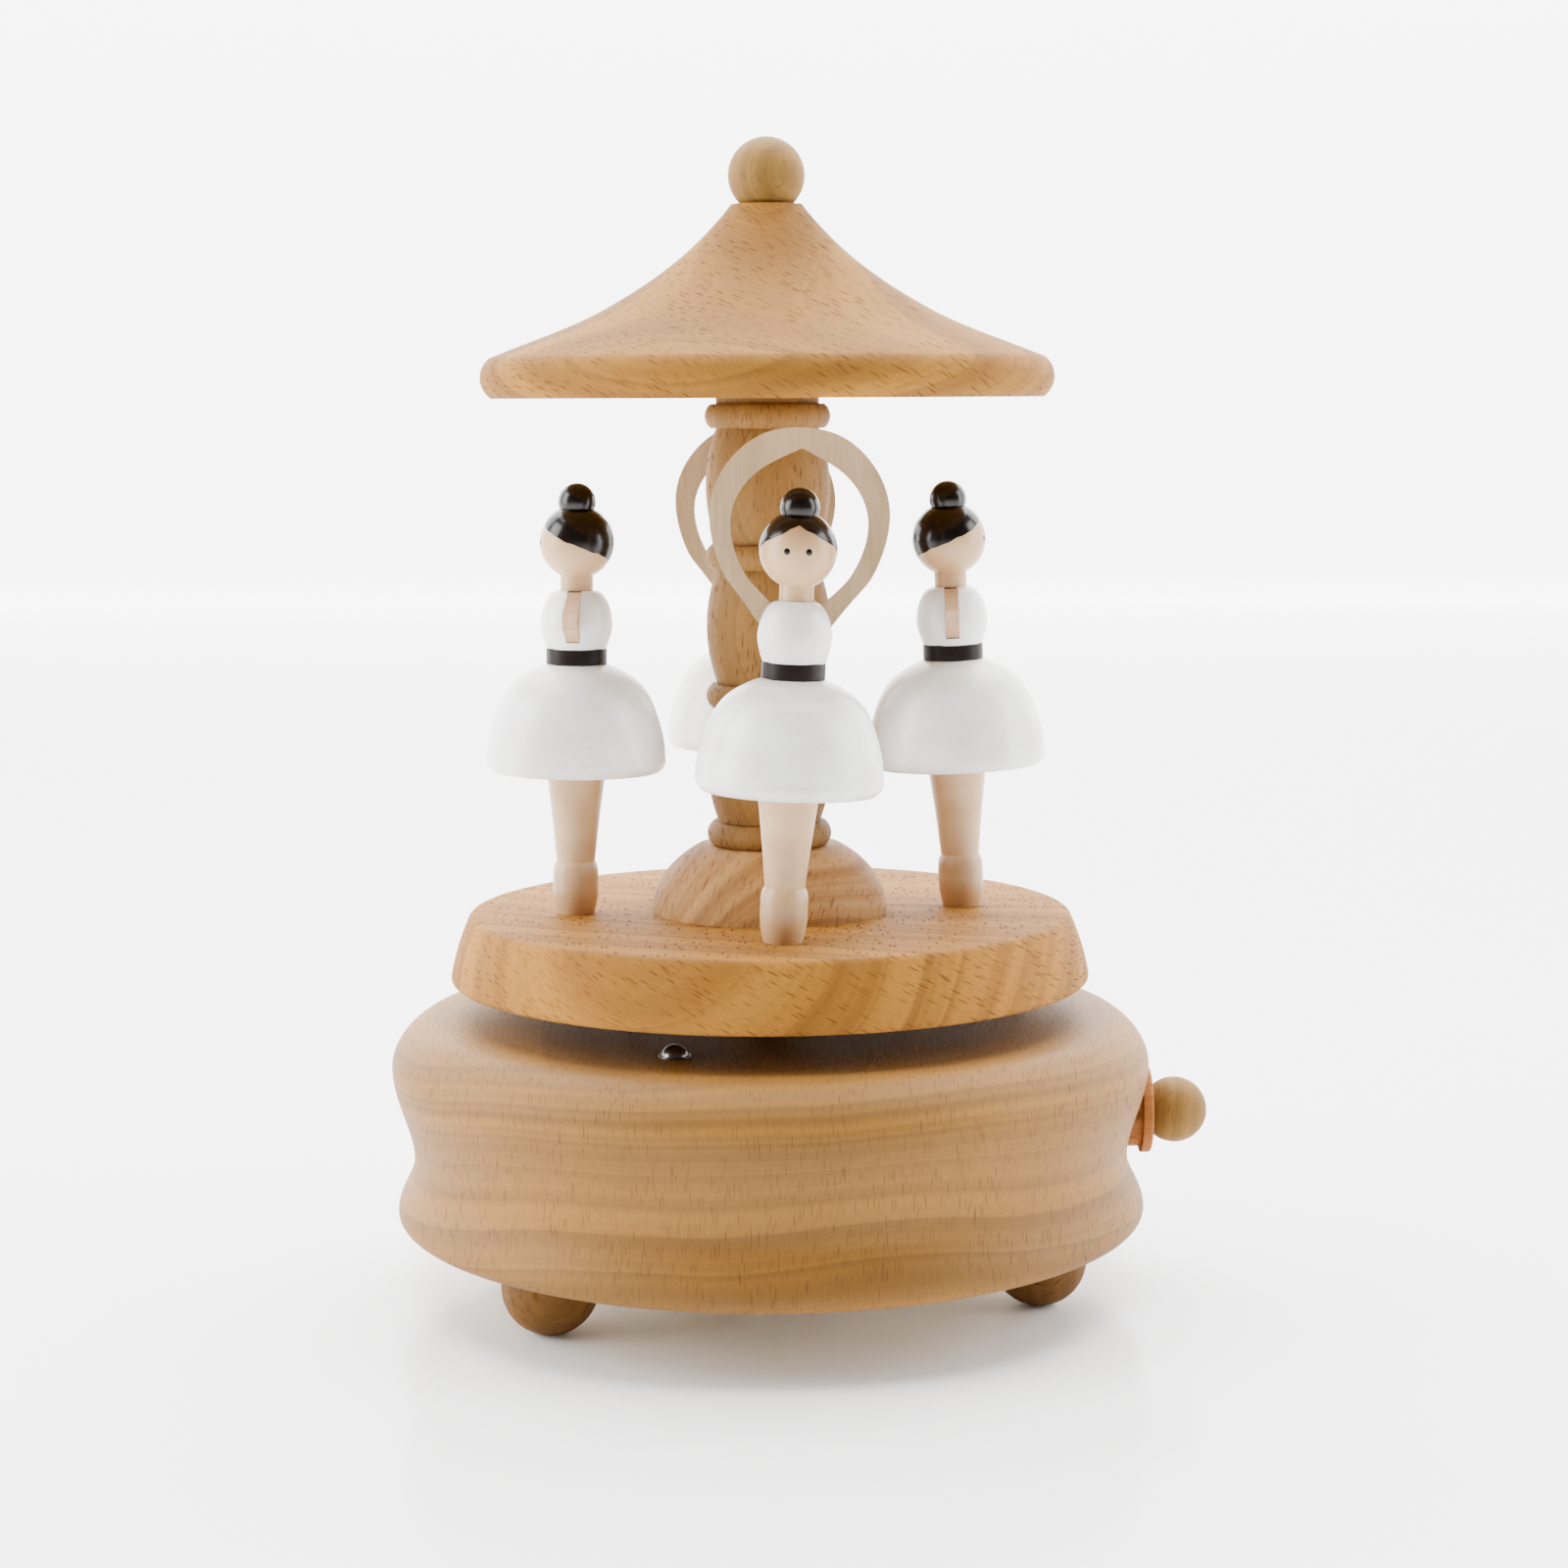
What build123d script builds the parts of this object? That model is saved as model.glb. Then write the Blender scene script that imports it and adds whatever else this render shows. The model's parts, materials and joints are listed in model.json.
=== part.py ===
from build123d import *
import os
from math import atan2, cos, degrees, hypot, pi, radians, sin

# Carousel music box in turned beech.  Four painted ballerinas stand on a turntable round a
# turned column, under a bell-shaped roof.  A spring-driven musical movement in the base
# turns the table; a key under the base winds it and a knob on the right side stops it.
#
# Frame: millimetres, +Z up, the origin on the table top under the turning axis.  The front
# is -Y and the stop knob is on +X.

# ---------------------------------------------------------------- driving dimensions
# Base, turned from one block and hollowed from below
base_radius = 57.5          # the belly, its widest place
base_bottom = 10.0          # underside above the table
base_height = 32.3
belly_height = 25.0         # the belly above the underside
waist_depth = 3.0           # how far the waist is cut in
waist_height = 9.5
bead_depth = 0.6            # the bead at the foot of the base, in from the belly
bead_height = 2.9
shoulder_width = 7.2        # the rounding between belly and top face
rim_width = 7.5             # from the belly in to the bottom board
ledge_width = 6.0           # the ledge that the bottom board sits against
top_thickness = 7.3
board_thickness = 4.0
board_clearance = 0.25

# Ball feet
foot_radius = 7.16
foot_flat = 0.12            # depth of the sanded flat
foot_inset = 0.44           # from the foot's side to the edge of the bottom board
foot_angles = (-49.3, 70.7, 190.7)

# Tacks on top of the base
tack_radius = 2.35
tack_height = 1.8
tack_shank = 0.8
tack_circle = 37.4
tack_angles = (-21.3, 98.7, 218.7)

# Turntable and its wooden pieces
table_gap = 5.5
platform_radius = 48.5      # at its lower edge
platform_taper = 3.1        # how much smaller the upper edge is
platform_thickness = 10.0
dome_radius = 17.8
dome_rise = 12.6            # full height of the ellipse that the dome is cut from
dome_height = 10.0
ring_radius = 9.4
ring_height = 3.6
bulge_radius = 9.3
bulge_length = 17.3
bulge_count = 3
neck_radius = 7.7
collar_height = 0.9         # the plain end of the column under the roof
roof_radius = 42.7
roof_height = 28.4
roof_top_radius = 5.3
finial_radius = 5.7
finial_seat_radius = 3.85
spigot_radius = 4.0         # the column's ends
roof_spigot = 8.0           # how far the column goes up into the roof
table_spigot = 4.5          # and down into the platform
finial_spigot_radius = 2.0
finial_spigot = 6.0

# Dancers
dancer_circle = 29.5
dancer_names = ("front", "right", "rear", "left")
dancer_angles = (3.5, 95.4, 186.5, 275.4)    # from the front towards the right
dancer_facings = (-0.8, 87.5, 177.8, 266.6)  # where each one looks, counted the same way
dancer_leans = (2.5, -2.1, 1.3, 0.9)         # each one's lean towards +X, from how it was glued
sole_spare = 1.0            # left on below the sole, and trimmed level with the platform
leg_height = 21.7
leg_radius = 4.45           # under the skirt
sole_radius = 2.8
shoe_radius = 3.42          # the shoe at its fullest, and how high that is
shoe_fullest = 4.7
ankle_radius = 2.9          # the crease between shoe and leg
ankle_height = 8.0
skirt_radius = 13.4
skirt_height = 16.1
belt_radius = 4.55
belt_height = 2.3
torso_radius = 5.35
torso_height = 8.7
neck_thickness = 2.43       # radius of the neck
neck_height = 2.2
head_radius = 5.5
bun_radius = 2.8
bun_offset = 6.0            # bun centre above head centre
plate_thickness = 2.0       # plywood of the arms
slot_clearance = 0.04
leg_spigot = 2.6
head_spigot = 1.5
dowel_radius = 1.5
dowel_depth = 5.0

# Stop knob
knob_height = 26.4
knob_radius = 5.0
knob_flat = 3.5             # from the ball's centre to its flat
knob_gap = 0.2
knob_travel = 3.5
flange_radius = 6.55
flange_thickness = 1.6
flange_back = 1.0           # the flange's back face, in from the belly
boss_radius = 5.6
boss_length = 7.5
rod_radius = 0.8

# Shaft, bush and hub of the turntable
shaft_radius = 2.0
running_clearance = 0.05    # between a turning or sliding piece and its bearing
bush_radius = 4.0
bush_flange_radius = 6.0
bush_flange = 1.0
hub_flange_radius = 12.0
hub_flange = 2.2
hub_boss = 5.0
hub_gap = 0.3

# Musical movement, in its own frame: the barrel on the origin, the cylinder along +X
bed_thickness = 2.0
bed_left, bed_right = -16.0, 38.0
bed_front, bed_back = -16.5, 21.5
bed_corner = 6.0
barrel_radius = 13.4
barrel_height = 5.5
barrel_wall = 0.8
barrel_gap = 0.4
gear_module = 0.8
crown_teeth = 28
pinion_teeth = 12
pinion_width = 1.6
cylinder_radius = 6.0
cylinder_length = 15.6
pin_height = 0.5
pin_radius = 0.2
note_count = 18
arbor_radius = 0.8
bearing_thickness = 1.2
bearing_width = 6.0
wheel_teeth = 20
wheel_module = 0.6
wheel_thickness = 1.4
worm_radius = 1.7           # pitch radius of the worm
worm_length = 6.4
pivot_radius = 0.6
fly_radius = 3.4
fly_height = 3.0
fly_clearance = 0.4
comb_thickness = 1.0
comb_tooth_length = 8.0
comb_depth = 12.4
comb_slit = 0.25
comb_reach = 0.3            # from the pins' tips to the comb's tips

# Winding key
arbor_key_radius = 1.75
key_bottom = 3.0
key_width = 22.0
key_wing_height = 5.4
key_wing_thickness = 2.0
key_hub_radius = 3.2
key_gap = 0.6               # between the key and the bottom board
key_hole_clearance = 4.25   # round the arbor, in the bottom board

# ---------------------------------------------------------------- levels and places
base_top = base_bottom + base_height
board_radius = base_radius - rim_width
board_top = base_bottom + board_thickness
pocket_radius = board_radius - ledge_width
pocket_ceiling = base_top - top_thickness
foot_circle = board_radius - foot_radius - foot_inset
platform_bottom = base_top + table_gap
platform_top = platform_bottom + platform_thickness
column_bottom = platform_top + dome_height
column_top = column_bottom + bulge_count * (ring_height + bulge_length) + ring_height + collar_height
roof_bottom = column_top
roof_top = roof_bottom + roof_height
knob_seat = base_radius - flange_back
knob_centre = knob_seat + flange_thickness + knob_gap + knob_flat

bed_top = board_top + bed_thickness
barrel_bottom = bed_top + barrel_gap
barrel_top = barrel_bottom + barrel_height
crown_radius = gear_module * crown_teeth / 2
pinion_pitch = gear_module * pinion_teeth / 2
addendum = 0.75 * gear_module
dedendum = 1.05 * gear_module
arbor_height = barrel_top + dedendum + pinion_pitch
inner_bearing = barrel_radius + 0.6
cylinder_start = inner_bearing + bearing_thickness + 0.6
wheel_pitch = wheel_module * wheel_teeth / 2
wheel_place = cylinder_start + cylinder_length + 2.6
outer_bearing = wheel_place + wheel_thickness / 2 + 0.5
worm_offset = wheel_pitch + worm_radius
worm_lead = pi * wheel_module
fly_bottom = bed_top + 1.0
fly_reach = hypot(wheel_place, worm_offset)
rod_drop = fly_reach + fly_radius + fly_clearance + rod_radius
# The movement is turned in the base so that the fly stands in line with the stop rod.
movement_turn = degrees(atan2(worm_offset, wheel_place))


# ---------------------------------------------------------------- helpers
def turning(*lines):
    """A solid turned about Z from profile lines drawn as (radius, height)."""
    return revolve(Plane.XZ * make_face(Curve() + list(lines)), Axis.Z)


def softened(face, radius, *corners):
    """Round the corners of a profile face that lie nearest to the given points."""
    chosen = [face.vertices().sort_by_distance(Vector(*corner))[0] for corner in corners]
    return fillet(chosen, radius)


def ring(outer, inner, bottom, top):
    """A plain ring or, with inner 0, a plain disc."""
    solid = Pos(0, 0, bottom) * extrude(Circle(outer), top - bottom)
    return solid - Pos(0, 0, bottom) * extrude(Circle(inner), top - bottom) if inner else solid


def block(low, high):
    """A box between two corners."""
    size = [b - a for a, b in zip(low, high)]
    return Pos(*low) * Box(*size, align=(Align.MIN, Align.MIN, Align.MIN))


def along_x(solid):
    """Turn a solid that was made along Z so that it lies along +X."""
    return Rot(0, 90, 0) * solid


def round_the_axis(angles, radius, solid):
    """Copies of a solid at angles counted from the front towards the right."""
    return [Rot(0, 0, angle) * Pos(0, -radius, 0) * solid for angle in angles]


def flat_screw(length, radius, head_radius):
    """A countersunk screw that points up, its head's face on the origin."""
    head = head_radius - radius
    outline = Polyline((0, 0), (head_radius, 0), (radius, head), (radius, length - 2 * radius),
                       (0.2, length), (0, length), close=True)
    slot = block((-head_radius, -0.3, 0), (head_radius, 0.3, 0.5))
    return turning(outline) - slot


def pan_screw(length, radius, head_radius, head_height):
    """A pan-head screw that points down, the underside of its head on the origin."""
    outline = Polyline((0, -length), (0.2, -length), (radius, -length + radius), (radius, 0),
                       (head_radius, 0), (head_radius, 0.5 * head_height),
                       (0.7 * head_radius, head_height), (0, head_height), close=True)
    slot = block((-head_radius, -0.25, 0.55 * head_height), (head_radius, 0.25, head_height))
    return turning(outline) - slot


def bore_for(radius, depth, head_radius=0.0):
    """The hole that a screw or dowel fills, upwards from the origin."""
    hole = extrude(Circle(radius), depth)
    if head_radius:
        hole += Cone(head_radius, radius, head_radius - radius,
                     align=(Align.CENTER, Align.CENTER, Align.MIN))
    return hole


def toothed_wheel(teeth, root, tip, root_width, tip_width, thickness, bore):
    """A straight-toothed wheel about Z, its middle on the origin, one tooth on +X."""
    sunk = 0.2
    tooth = Polygon((root - sunk, -root_width / 2), (tip, -tip_width / 2), (tip, tip_width / 2),
                    (root - sunk, root_width / 2), align=None)
    outline = Circle(root) + PolarLocations(0, teeth) * tooth - Circle(bore)
    return extrude(outline, thickness / 2, both=True)


# ---------------------------------------------------------------- base
screw_radius = 1.3
screw_head = 2.8
board_screw_length = 13.0
foot_screw_length = 9.5
board_screw_circle = board_radius - 0.5 * ledge_width
board_screw_angles = [angle + 60 for angle in foot_angles]
bed_screw_radius = 1.1
bed_screw_head = 2.1
bed_screw_length = bed_thickness + 0.8 * board_thickness
bed_screw_places = [(-12.0, 12.5), (-12.0, -11.5), (35.0, 13.0)]
tack_length = top_thickness - 0.8


def make_base_housing():
    """Turned base: bead, waist and belly outside; pocket, ledge and rebate inside."""
    hole = bush_radius
    rebate = board_radius + board_clearance
    bead = (base_radius - bead_depth, base_bottom + bead_height)
    waist = (base_radius - waist_depth, base_bottom + waist_height)
    belly = (base_radius, base_bottom + belly_height)
    shoulder = (base_radius - shoulder_width, base_top)
    inside = Polyline(shoulder, (hole, base_top), (hole, pocket_ceiling),
                      (pocket_radius, pocket_ceiling), (pocket_radius, board_top),
                      (rebate, board_top), (rebate, base_bottom), (rebate + 0.8, base_bottom))
    outside = [
        Spline((rebate + 0.8, base_bottom), bead, tangents=((1, 0), (0, 1)),
               tangent_scalars=(1.3, 0.8)),
        Spline(bead, waist, belly, tangents=((0, 1), (0, 1))),
        Spline(belly, shoulder, tangents=((0, 1), (-1, 0)), tangent_scalars=(1.3, 1.0)),
    ]
    housing = turning(inside, *outside)
    housing -= along_x(Pos(-knob_height, 0, knob_seat) * extrude(Circle(flange_radius + 0.2), 9))
    housing -= along_x(Pos(-knob_height, 0, knob_seat - boss_length) *
                       extrude(Circle(boss_radius), boss_length + 1))
    housing -= along_x(Pos(-knob_height, 0, pocket_radius - 2) *
                       extrude(Circle(2 * rod_radius), knob_seat - pocket_radius))
    for cut in round_the_axis(board_screw_angles, board_screw_circle,
                              Pos(0, 0, base_bottom) * bore_for(screw_radius, board_screw_length)):
        housing -= cut
    for cut in round_the_axis(tack_angles, tack_circle,
                              Pos(0, 0, base_top - tack_length) * bore_for(tack_shank, tack_length)):
        housing -= cut
    return housing


def make_bottom_board():
    """Plywood disc, with holes for the key arbor and for all its screws."""
    board = ring(board_radius, arbor_key_radius + key_hole_clearance, base_bottom, board_top)
    for cut in round_the_axis(board_screw_angles, board_screw_circle,
                              Pos(0, 0, base_bottom) * bore_for(screw_radius, 9, screw_head)):
        board -= cut
    for cut in round_the_axis(foot_angles, foot_circle,
                              Pos(0, 0, board_top) * Rot(180, 0, 0) *
                              bore_for(screw_radius, 9, screw_head)):
        board -= cut
    for x, y in bed_screw_places:
        board -= Rot(0, 0, movement_turn) * Pos(x, y, bed_top - bed_screw_length) * \
            bore_for(bed_screw_radius, bed_screw_length)
    return board


def make_foot():
    """Ball foot on Z: a flat below for the table, a larger flat above under the board."""
    ball = Pos(0, 0, foot_radius - foot_flat) * Sphere(foot_radius)
    wide = foot_radius + 1
    ball &= block((-wide, -wide, 0), (wide, wide, base_bottom))
    return ball - Pos(0, 0, board_top - foot_screw_length) * bore_for(screw_radius, foot_screw_length)


def make_tack():
    """Domed steel tack, the underside of its head on the origin."""
    curve = (tack_radius ** 2 + tack_height ** 2) / (2 * tack_height)
    dome = RadiusArc((tack_radius, 0), (0, tack_height), -curve)
    rest = Polyline((0, tack_height), (0, -tack_length), (tack_shank, -tack_length + 1.5),
                    (tack_shank, 0), (tack_radius, 0))
    return turning(dome, rest)


def make_knob_bush():
    """Flanged wooden bush along +X that guides the stop rod."""
    flange = ring(flange_radius, 0, 0, flange_thickness)
    flange = fillet(flange.edges().sort_by(Axis.Z)[-1], 0.5)
    bush = flange + ring(boss_radius, 0, -boss_length, 0)
    bush -= ring(rod_radius + running_clearance, 0, -boss_length, flange_thickness)
    return Pos(knob_seat, 0, knob_height) * along_x(bush)


def make_shaft_bush():
    """Flanged brass bush in the middle of the base's top."""
    return (ring(bush_radius, 0, pocket_ceiling, base_top)
            + ring(bush_flange_radius, 0, base_top, base_top + bush_flange)
            - ring(shaft_radius + running_clearance, 0, pocket_ceiling, base_top + bush_flange))


# ---------------------------------------------------------------- movement, fixed pieces
comb_front = cylinder_radius + pin_height + comb_reach
comb_back = comb_front + comb_depth
comb_left = cylinder_start + 0.3
comb_right = cylinder_start + cylinder_length - 0.3
comb_block_front = comb_front + comb_tooth_length
comb_screw_places = [(comb_left + 3, comb_back - 2.2), (comb_right - 3, comb_back - 2.2)]
comb_screw_radius = 0.9
comb_screw_length = 6.0
bracket_reach = fly_radius + 0.7
bracket_thickness = 1.2
bracket_half = 1.5
bracket_foot = 3.4
bracket_arm = arbor_height + worm_length / 2 + 0.9


def make_bedplate():
    """Cast plate with rounded corners, bored for the key arbor, the fly and its screws."""
    outline = RectangleRounded(bed_right - bed_left, bed_back - bed_front, bed_corner)
    plate = Pos((bed_left + bed_right) / 2, (bed_front + bed_back) / 2, board_top) * \
        extrude(outline, bed_thickness)
    plate -= ring(arbor_key_radius + running_clearance, 0, board_top, bed_top)
    plate -= Pos(wheel_place, -worm_offset, 0) * ring(pivot_radius + running_clearance, 0,
                                                       board_top, bed_top)
    for x, y in bed_screw_places:
        plate -= Pos(x, y, board_top) * bore_for(bed_screw_radius, bed_thickness)
    return plate


def make_bearing(place, foot_length):
    """Upright with a foot on the bedplate and a hole for the cylinder arbor."""
    half = bearing_width / 2
    upright = block((place, -half, bed_top), (place + bearing_thickness, half, arbor_height + half))
    foot = block((place, -half, bed_top), (place + foot_length, half, bed_top + bearing_thickness))
    hole = Pos(place, 0, arbor_height) * along_x(bore_for(arbor_radius + running_clearance,
                                                          bearing_thickness))
    return upright + foot - hole


def make_comb_block():
    """Block that lifts the comb to the cylinder's height."""
    solid = block((comb_left, comb_block_front, bed_top), (comb_right, comb_back, arbor_height))
    for x, y in comb_screw_places:
        solid -= Pos(x, y, arbor_height - comb_screw_length + comb_thickness) * \
            bore_for(comb_screw_radius, comb_screw_length)
    return solid


def make_comb():
    """Steel comb: one tooth for each note, all on one heel."""
    solid = block((comb_left, comb_front, arbor_height),
                  (comb_right, comb_back, arbor_height + comb_thickness))
    pitch = (comb_right - comb_left) / note_count
    for note in range(1, note_count):
        x = comb_left + note * pitch
        solid -= block((x - comb_slit / 2, comb_front, arbor_height),
                       (x + comb_slit / 2, comb_front + comb_tooth_length - 0.4,
                        arbor_height + comb_thickness))
    for x, y in comb_screw_places:
        solid -= Pos(x, y, arbor_height) * bore_for(comb_screw_radius, comb_thickness)
    return solid


def make_governor_bracket():
    """Post and arm that hold the fly shaft's upper pivot."""
    x0, x1 = wheel_place - bracket_half, wheel_place + bracket_half
    post_back = -worm_offset - bracket_reach
    post_front = post_back - bracket_thickness
    solid = block((x0, post_front, bed_top), (x1, post_back, bracket_arm + bracket_thickness))
    solid += block((x0, post_front - bracket_foot, bed_top), (x1, post_back, bed_top + 1.0))
    solid += block((x0, post_front, bracket_arm),
                   (x1, -worm_offset + bracket_half, bracket_arm + bracket_thickness))
    return solid - Pos(wheel_place, -worm_offset, bracket_arm) * \
        bore_for(pivot_radius + running_clearance, bracket_thickness)


# ---------------------------------------------------------------- movement, turning pieces
def make_spring_barrel():
    """Drum, open below, with radial crown teeth on its top face."""
    drum = ring(barrel_radius, 0, barrel_bottom, barrel_top)
    drum -= ring(barrel_radius - barrel_wall, 0, barrel_bottom, barrel_top - barrel_wall)
    drum -= ring(shaft_radius, 0, barrel_bottom, barrel_top)
    tooth_height = addendum + dedendum - 0.1
    face = 1.3
    section = Polygon((-0.5, -0.1), (0.5, -0.1), (0.25, tooth_height), (-0.25, tooth_height),
                      align=None)
    start = Plane(origin=(crown_radius - face, 0, barrel_top), x_dir=(0, 1, 0), z_dir=(1, 0, 0))
    tooth = extrude(start * section, 2 * face)
    return drum + PolarLocations(0, crown_teeth) * tooth


def make_mainspring():
    """Flat spiral strip: half turns on two centres, each one larger than the last."""
    pitch, strip, first, half_turns = 1.6, 0.4, 3.2, 11
    outline = Sketch()
    for turn in range(half_turns):
        radius = first + turn * pitch / 2
        side = 1 if turn % 2 else -1
        band = Circle(radius + strip / 2) - Circle(radius - strip / 2)
        half = Pos(0, side * -20) * Rectangle(40, 40)
        outline += Pos(side * pitch / 4, 0) * (band & half)
    low = barrel_bottom + 2 * barrel_wall - 0.1
    return Pos(0, 0, low) * extrude(outline, barrel_top - barrel_wall - 0.3 - low)


def make_music_cylinder():
    """Pinned cylinder along the arbor, with a row of pins for each note."""
    body = ring(cylinder_radius, arbor_radius, 0, cylinder_length)
    pitch = (comb_right - comb_left) / note_count
    pins = []
    for note in range(note_count):
        height = comb_left - cylinder_start + (note + 0.5) * pitch
        for beat in range(3):
            angle = 137.5 * note + 113.0 * beat
            pins.append(Rot(0, 0, angle) * Pos(cylinder_radius - 0.3, 0, height) *
                        along_x(extrude(Circle(pin_radius), pin_height + 0.3)))
    return Pos(cylinder_start, 0, arbor_height) * along_x(body + pins)


def make_drive_pinion():
    """Small wheel that the crown teeth drive, with a gap straight down."""
    wheel = toothed_wheel(pinion_teeth, pinion_pitch - dedendum, pinion_pitch + addendum,
                          1.0, 0.44, pinion_width, arbor_radius)
    wheel = Rot(0, 0, 180 / pinion_teeth) * wheel
    return Pos(crown_radius, 0, arbor_height) * along_x(wheel)


def make_worm_wheel():
    """Wheel at the cylinder's far end, one tooth pointing at the worm."""
    wheel = toothed_wheel(wheel_teeth, wheel_pitch - 0.7, wheel_pitch + 0.5,
                          0.8, 0.4, wheel_thickness, arbor_radius)
    return Pos(wheel_place, 0, arbor_height) * along_x(wheel)


def make_governor_shaft():
    """Upright shaft with fine pivots and a single-start right-hand worm."""
    root = worm_radius - 0.65
    half = worm_length / 2
    core = ring(root, 0, -half - 0.5, half + 0.5)
    pivot = ring(pivot_radius, 0, board_top + 0.3 - arbor_height,
                 bracket_arm + bracket_thickness - arbor_height)
    turns = 3
    start = -(turns / 2) * worm_lead
    section = Polygon((root - 0.15, -0.38), (worm_radius + 0.45, -0.2), (worm_radius + 0.45, 0.2),
                      (root - 0.15, 0.38), align=None)
    path = Helix(worm_lead, turns * worm_lead, worm_radius)
    thread = sweep(Plane.XZ * section, path=path, is_frenet=True)
    thread = Rot(0, 0, 90) * Pos(0, 0, start) * thread
    shaft = core + pivot + thread
    return Pos(wheel_place, -worm_offset, arbor_height) * shaft


def make_fly():
    """Air brake: a hub with two flat blades."""
    hub = ring(1.4, 0, fly_bottom, fly_bottom + fly_height)
    blades = block((-fly_radius, -0.25, fly_bottom), (fly_radius, 0.25, fly_bottom + fly_height))
    solid = hub + blades - ring(pivot_radius, 0, fly_bottom, fly_bottom + fly_height)
    return Pos(wheel_place, -worm_offset, 0) * solid


# ---------------------------------------------------------------- turntable
hub_screw_angles = (0, 120, 240)
hub_screw_radius = 1.1
hub_screw_circle = 0.5 * (hub_flange_radius + bush_radius) + 0.4
hub_screw_length = hub_flange + 0.6 * platform_thickness
hub_screw_cuts = round_the_axis(
    hub_screw_angles, hub_screw_circle,
    Pos(0, 0, platform_bottom - hub_flange) * bore_for(hub_screw_radius, hub_screw_length))


def make_hub():
    """Brass flange under the platform, with a boss up into it and one down to the bush."""
    low = base_top + bush_flange + hub_gap
    solid = (ring(hub_flange_radius, 0, platform_bottom - hub_flange, platform_bottom)
             + ring(bush_radius, 0, low, platform_bottom + hub_boss)
             - ring(shaft_radius, 0, low, platform_bottom + hub_boss))
    for cut in hub_screw_cuts:
        solid -= cut
    return solid


def make_platform():
    """Turned disc, wider below, with softly rounded edges and a slightly full side."""
    top_radius = platform_radius - platform_taper
    edge = 0.9
    low = (platform_radius, platform_bottom)
    high = (top_radius, platform_top)
    middle = (0.5 * (platform_radius + top_radius) + 0.5, 0.5 * (platform_bottom + platform_top))
    rest = Polyline(high, (0, platform_top), (0, platform_bottom), low)
    profile = make_face(Curve() + [ThreePointArc(low, middle, high), rest])
    solid = revolve(Plane.XZ * softened(profile, edge, low, high), Axis.Z)
    solid -= ring(spigot_radius, 0, platform_bottom, platform_top)
    for cut in hub_screw_cuts:
        solid -= cut
    for place in dancer_places:
        solid -= place * Pos(0, 0, -dowel_depth) * bore_for(dowel_radius, dowel_depth + sole_spare)
    return solid


def make_dome():
    """Low mound: the lower part of half an ellipse, bored for the column's spigot."""
    end = degrees(atan2(dome_height / dome_rise, (1 - (dome_height / dome_rise) ** 2) ** 0.5))
    side = Pos(0, platform_top) * EllipticalCenterArc((0, 0), dome_radius, dome_rise,
                                                      start_angle=0, arc_size=end)
    top = side @ 1
    rest = Polyline((top.X, top.Y), (spigot_radius, top.Y), (spigot_radius, platform_top),
                    (dome_radius, platform_top))
    return turning(side, rest)


def make_column():
    """Turned column: rounded rings with a bulge between each two, a spigot at each end."""
    lines = []
    z = column_bottom
    for place in range(bulge_count + 1):
        top = z + ring_height
        edge = 0.9
        lines.append(Line((neck_radius, z), (ring_radius - edge, z)))
        lines.append(ThreePointArc((ring_radius - edge, z), (ring_radius, 0.5 * (z + top)),
                                   (ring_radius - edge, top)))
        lines.append(Line((ring_radius - edge, top), (neck_radius, top)))
        if place < bulge_count:
            z = top + bulge_length
            lines.append(ThreePointArc((neck_radius, top), (bulge_radius, 0.5 * (top + z)),
                                       (neck_radius, z)))
    lines.append(Polyline((neck_radius, top), (neck_radius, column_top),
                          (spigot_radius, column_top), (spigot_radius, column_top + roof_spigot),
                          (0, column_top + roof_spigot), (0, platform_top - table_spigot),
                          (spigot_radius, platform_top - table_spigot), (spigot_radius, column_bottom),
                          (neck_radius, column_bottom)))
    return turning(*lines)


def make_roof():
    """Bell-shaped roof: a rounded rim, then a hollow sweep up to a small flat top."""
    h = roof_height
    rim_low = (roof_radius - 1.6, roof_bottom)
    rim_high = (roof_radius - 1.5, roof_bottom + 0.21 * h)
    sweep_line = Spline(rim_high, (0.56 * roof_radius, roof_bottom + 0.465 * h),
                        (0.27 * roof_radius, roof_bottom + 0.765 * h),
                        (roof_top_radius, roof_top),
                        tangents=((-1, 0.42), (-0.75, 1)))
    rest = Polyline((roof_top_radius, roof_top), (finial_spigot_radius, roof_top),
                    (finial_spigot_radius, roof_top - finial_spigot), (0, roof_top - finial_spigot),
                    (0, roof_bottom + roof_spigot), (spigot_radius, roof_bottom + roof_spigot),
                    (spigot_radius, roof_bottom), rim_low)
    rim = ThreePointArc(rim_low, (roof_radius, roof_bottom + 0.11 * h), rim_high)
    return turning(rim, sweep_line, rest)


def make_finial():
    """Ball with a small flat seat and a spigot into the roof."""
    drop = (finial_radius ** 2 - finial_seat_radius ** 2) ** 0.5
    centre = roof_top + drop
    ball = Pos(0, 0, centre) * Sphere(finial_radius)
    wide = 2 * finial_radius
    ball &= block((-wide, -wide, roof_top), (wide, wide, centre + wide))
    return ball + ring(finial_spigot_radius, 0, roof_top - finial_spigot, roof_top)


# ---------------------------------------------------------------- dancers
# Each dancer is made on Z, its foot on the origin, and looks along -Y.
skirt_bottom = leg_height
belt_bottom = skirt_bottom + skirt_height
torso_bottom = belt_bottom + belt_height
torso_top = torso_bottom + torso_height
head_height = torso_top + neck_height + 0.9 * head_radius
slot_bottom = torso_bottom + 1.1
bar_top = torso_top - 2.6
dancer_places = [
    Pos(dancer_circle * sin(radians(angle)), -dancer_circle * cos(radians(angle)), platform_top)
    * Rot(0, lean, 0) * Rot(0, 0, facing)
    for angle, facing, lean in zip(dancer_angles, dancer_facings, dancer_leans)]
leg_spigot_top = belt_bottom + 1.9


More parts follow.
